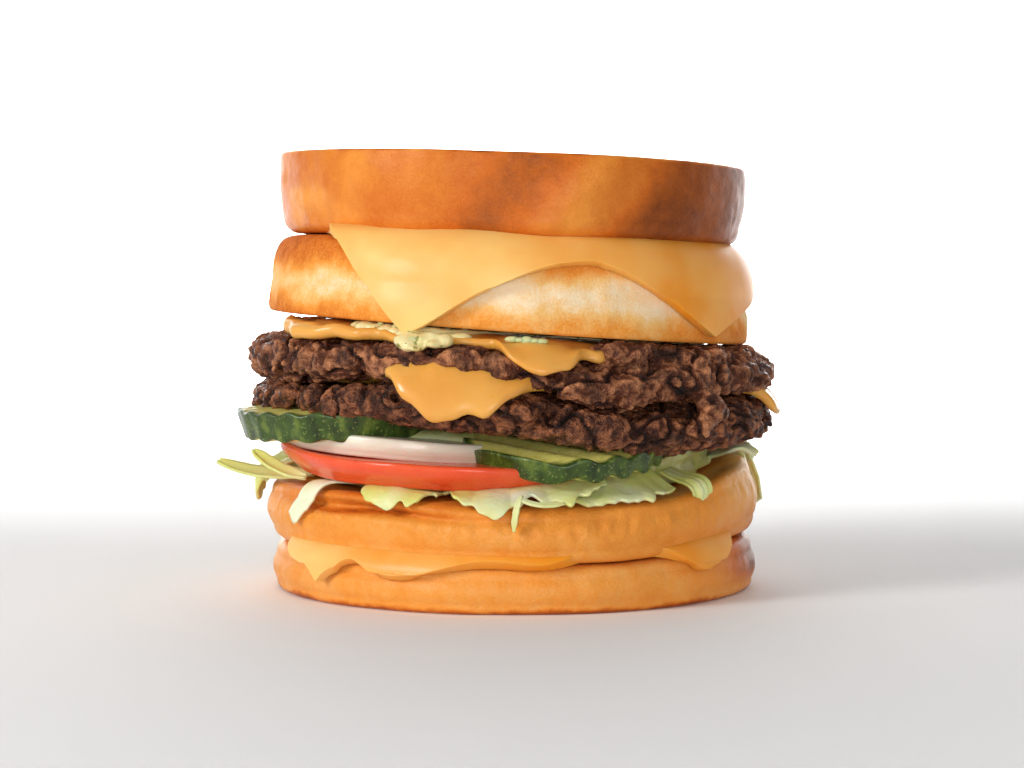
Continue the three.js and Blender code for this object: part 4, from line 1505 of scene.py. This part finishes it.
# %% [markdown]
# ## The shredded heap
# The rest of the lettuce is a heap that fills the layer between bread and beef. It has a rough core,
# and shreds stick out of it round the sides and the back, where no leaf covers them. Each shred is a
# small leaf with a random place, width and slant, and all of them share one mesh.

# %% Heap
HEAP = {"radius": 44, "shreds": 130, "first": 96, "last": 262}


def heap_low(at):
    return LEVELS["bed"](at.x) + GAP


def heap_high(at):
    return LEVELS["patty_foot"](at.x) - GAP


def heap_core(share, height, bearing):
    radius = HEAP["radius"] + 3 * rough((bearing, height, 2), 17) - 11 * hump(bearing, 8, 55)
    at = on_bearing(bearing, share * radius)
    ragged = 2.4 * rough((at.x, at.y, height * 14), 3.2, 2)
    at += on_bearing(bearing, ragged * smoothstep(share, 0.7, 1))
    at.z = mix(heap_low(at), heap_high(at), height)
    return at


core = [(i / 12, 0.0) for i in range(12)] + [(0.98, 0.05), *((1, i / 8) for i in range(1, 8)), (0.96, 0.95)]
bm = spun(core + [(i / 12, 1.0) for i in range(11, -1, -1)], 160, heap_core)
pale = bm.verts.layers.float.new("pale")
for vert in bm.verts:
    vert[pale] = clamp(0.2 + 0.9 * rough(vert.co, 3, 8))
finish_piece("shredded_heap_core", bm, lettuce_leaf, ["lettuce_heap"])

random = Random(12)
bm = bmesh.new()
for i in range(HEAP["shreds"]):
    chance = random.random()
    bearing = mix(HEAP["first"], HEAP["last"], (i + random.random()) / HEAP["shreds"])
    spot = on_bearing(bearing, 50)
    room = max(0.0, heap_high(spot) - heap_low(spot) - 3)
    bm = leaf(
        bearing,
        width=random.uniform(4, 16),
        inner=39,
        outer=48 + 12 * chance * chance,
        stand=tuple(1 + room * math.sqrt(random.random()) for _ in range(2)),
        low=(1.5, 1.5),
        hem=((0, 0.7 + 0.3 * random.random()), (0.5, 1), (1, 0.6 + 0.4 * random.random())),
        ruffle=1.2,
        waves=1,
        slant=random.uniform(-20, 20),
        taper=0.2,
        paleness=random.uniform(0, 0.7),
        cells=(18, 8),
        bm=bm,
    )
piece = finish_piece("shredded_heap_edge", bm, lettuce_leaf, [])
thicken(piece, LEAF_THICKNESS)

# %% [markdown]
# ## Stage, light and camera
# The floor is a plain pale sweep that rises far behind. The key light is large and soft, from the left
# and a little in front. A second one in front fills the shade, the world adds an even white, and the
# right side stays a little darker. A strong lamp behind lights only the sweep, so that it is white.

# %% Floor
def sweep_finish():
    finish = Finish("pale_sweep", {"Roughness": 0.9})
    whites = finish.blend(finish.speckle(400, 1), colour(246, 246, 246), colour(250, 250, 250))
    finish.paint("Base Color", whites)
    return finish.material


FLOOR_HALF = 3000
SWEEP = {"start": 900, "steepness": 0.0008}
bm = bmesh.new()
bmesh.ops.create_grid(bm, x_segments=2, y_segments=200, size=FLOOR_HALF)
for vert in bm.verts:
    vert.co.z = SWEEP["steepness"] * max(0.0, vert.co.y - SWEEP["start"]) ** 2
for face in bm.faces:
    face.smooth = True
bmesh.ops.scale(bm, vec=(MM, MM, MM), verts=bm.verts)
mesh = bpy.data.meshes.new("floor")
bm.to_mesh(mesh)
bm.free()
mesh.materials.append(sweep_finish())
floor = bpy.data.objects.new("floor", mesh)
bpy.context.scene.collection.objects.link(floor)
print("The floor is", 2 * FLOOR_HALF * MM, "m wide")


# %% Lights
def soft_light(name, place, aim, size, watts, shade):
    data = bpy.data.lights.new(name, "AREA")
    data.shape = "DISK"
    data.size = size
    data.energy = watts
    data.color = shade
    light = bpy.data.objects.new(name, data)
    light.location = place
    light.rotation_euler = (Vector(aim) - Vector(place)).to_track_quat("-Z", "Y").to_euler()
    bpy.context.scene.collection.objects.link(light)
    print(f"{name}: {watts} W")


MIDDLE = (0, 0, 0.05)
soft_light("key", (-0.8, -0.6, 0.45), MIDDLE, 0.4, 6, (1.0, 0.98, 0.95))
soft_light("fill", (0.1, -1.2, 0.08), MIDDLE, 0.6, 6, (1.0, 0.99, 0.98))
soft_light("backdrop", (0, 0.9, 1.2), (0, 2.2, 0.3), 1.5, 70, (1.0, 1.0, 1.0))

world = bpy.data.worlds.new("studio")
world.use_nodes = True
world.node_tree.nodes["Background"].inputs["Color"].default_value = (1, 1, 1, 1)
world.node_tree.nodes["Background"].inputs["Strength"].default_value = 0.35
bpy.context.scene.world = world
bpy.context.scene.view_settings.view_transform = "Standard"

# %% Camera
CAMERA_PLACE = (-0.0004, -0.53, 0.068)
CAMERA_PITCH = 2.593
CAMERA_LENS = 84.7  # in millimetres, on a sensor 36 mm wide
data = bpy.data.cameras.new("camera")
data.sensor_width = 36
data.lens = CAMERA_LENS
camera = bpy.data.objects.new("camera", data)
camera.location = CAMERA_PLACE
camera.rotation_euler = (math.radians(90 - CAMERA_PITCH), 0, 0)
bpy.context.scene.collection.objects.link(camera)
bpy.context.scene.camera = camera
print("The camera looks down by", CAMERA_PITCH, "degrees")
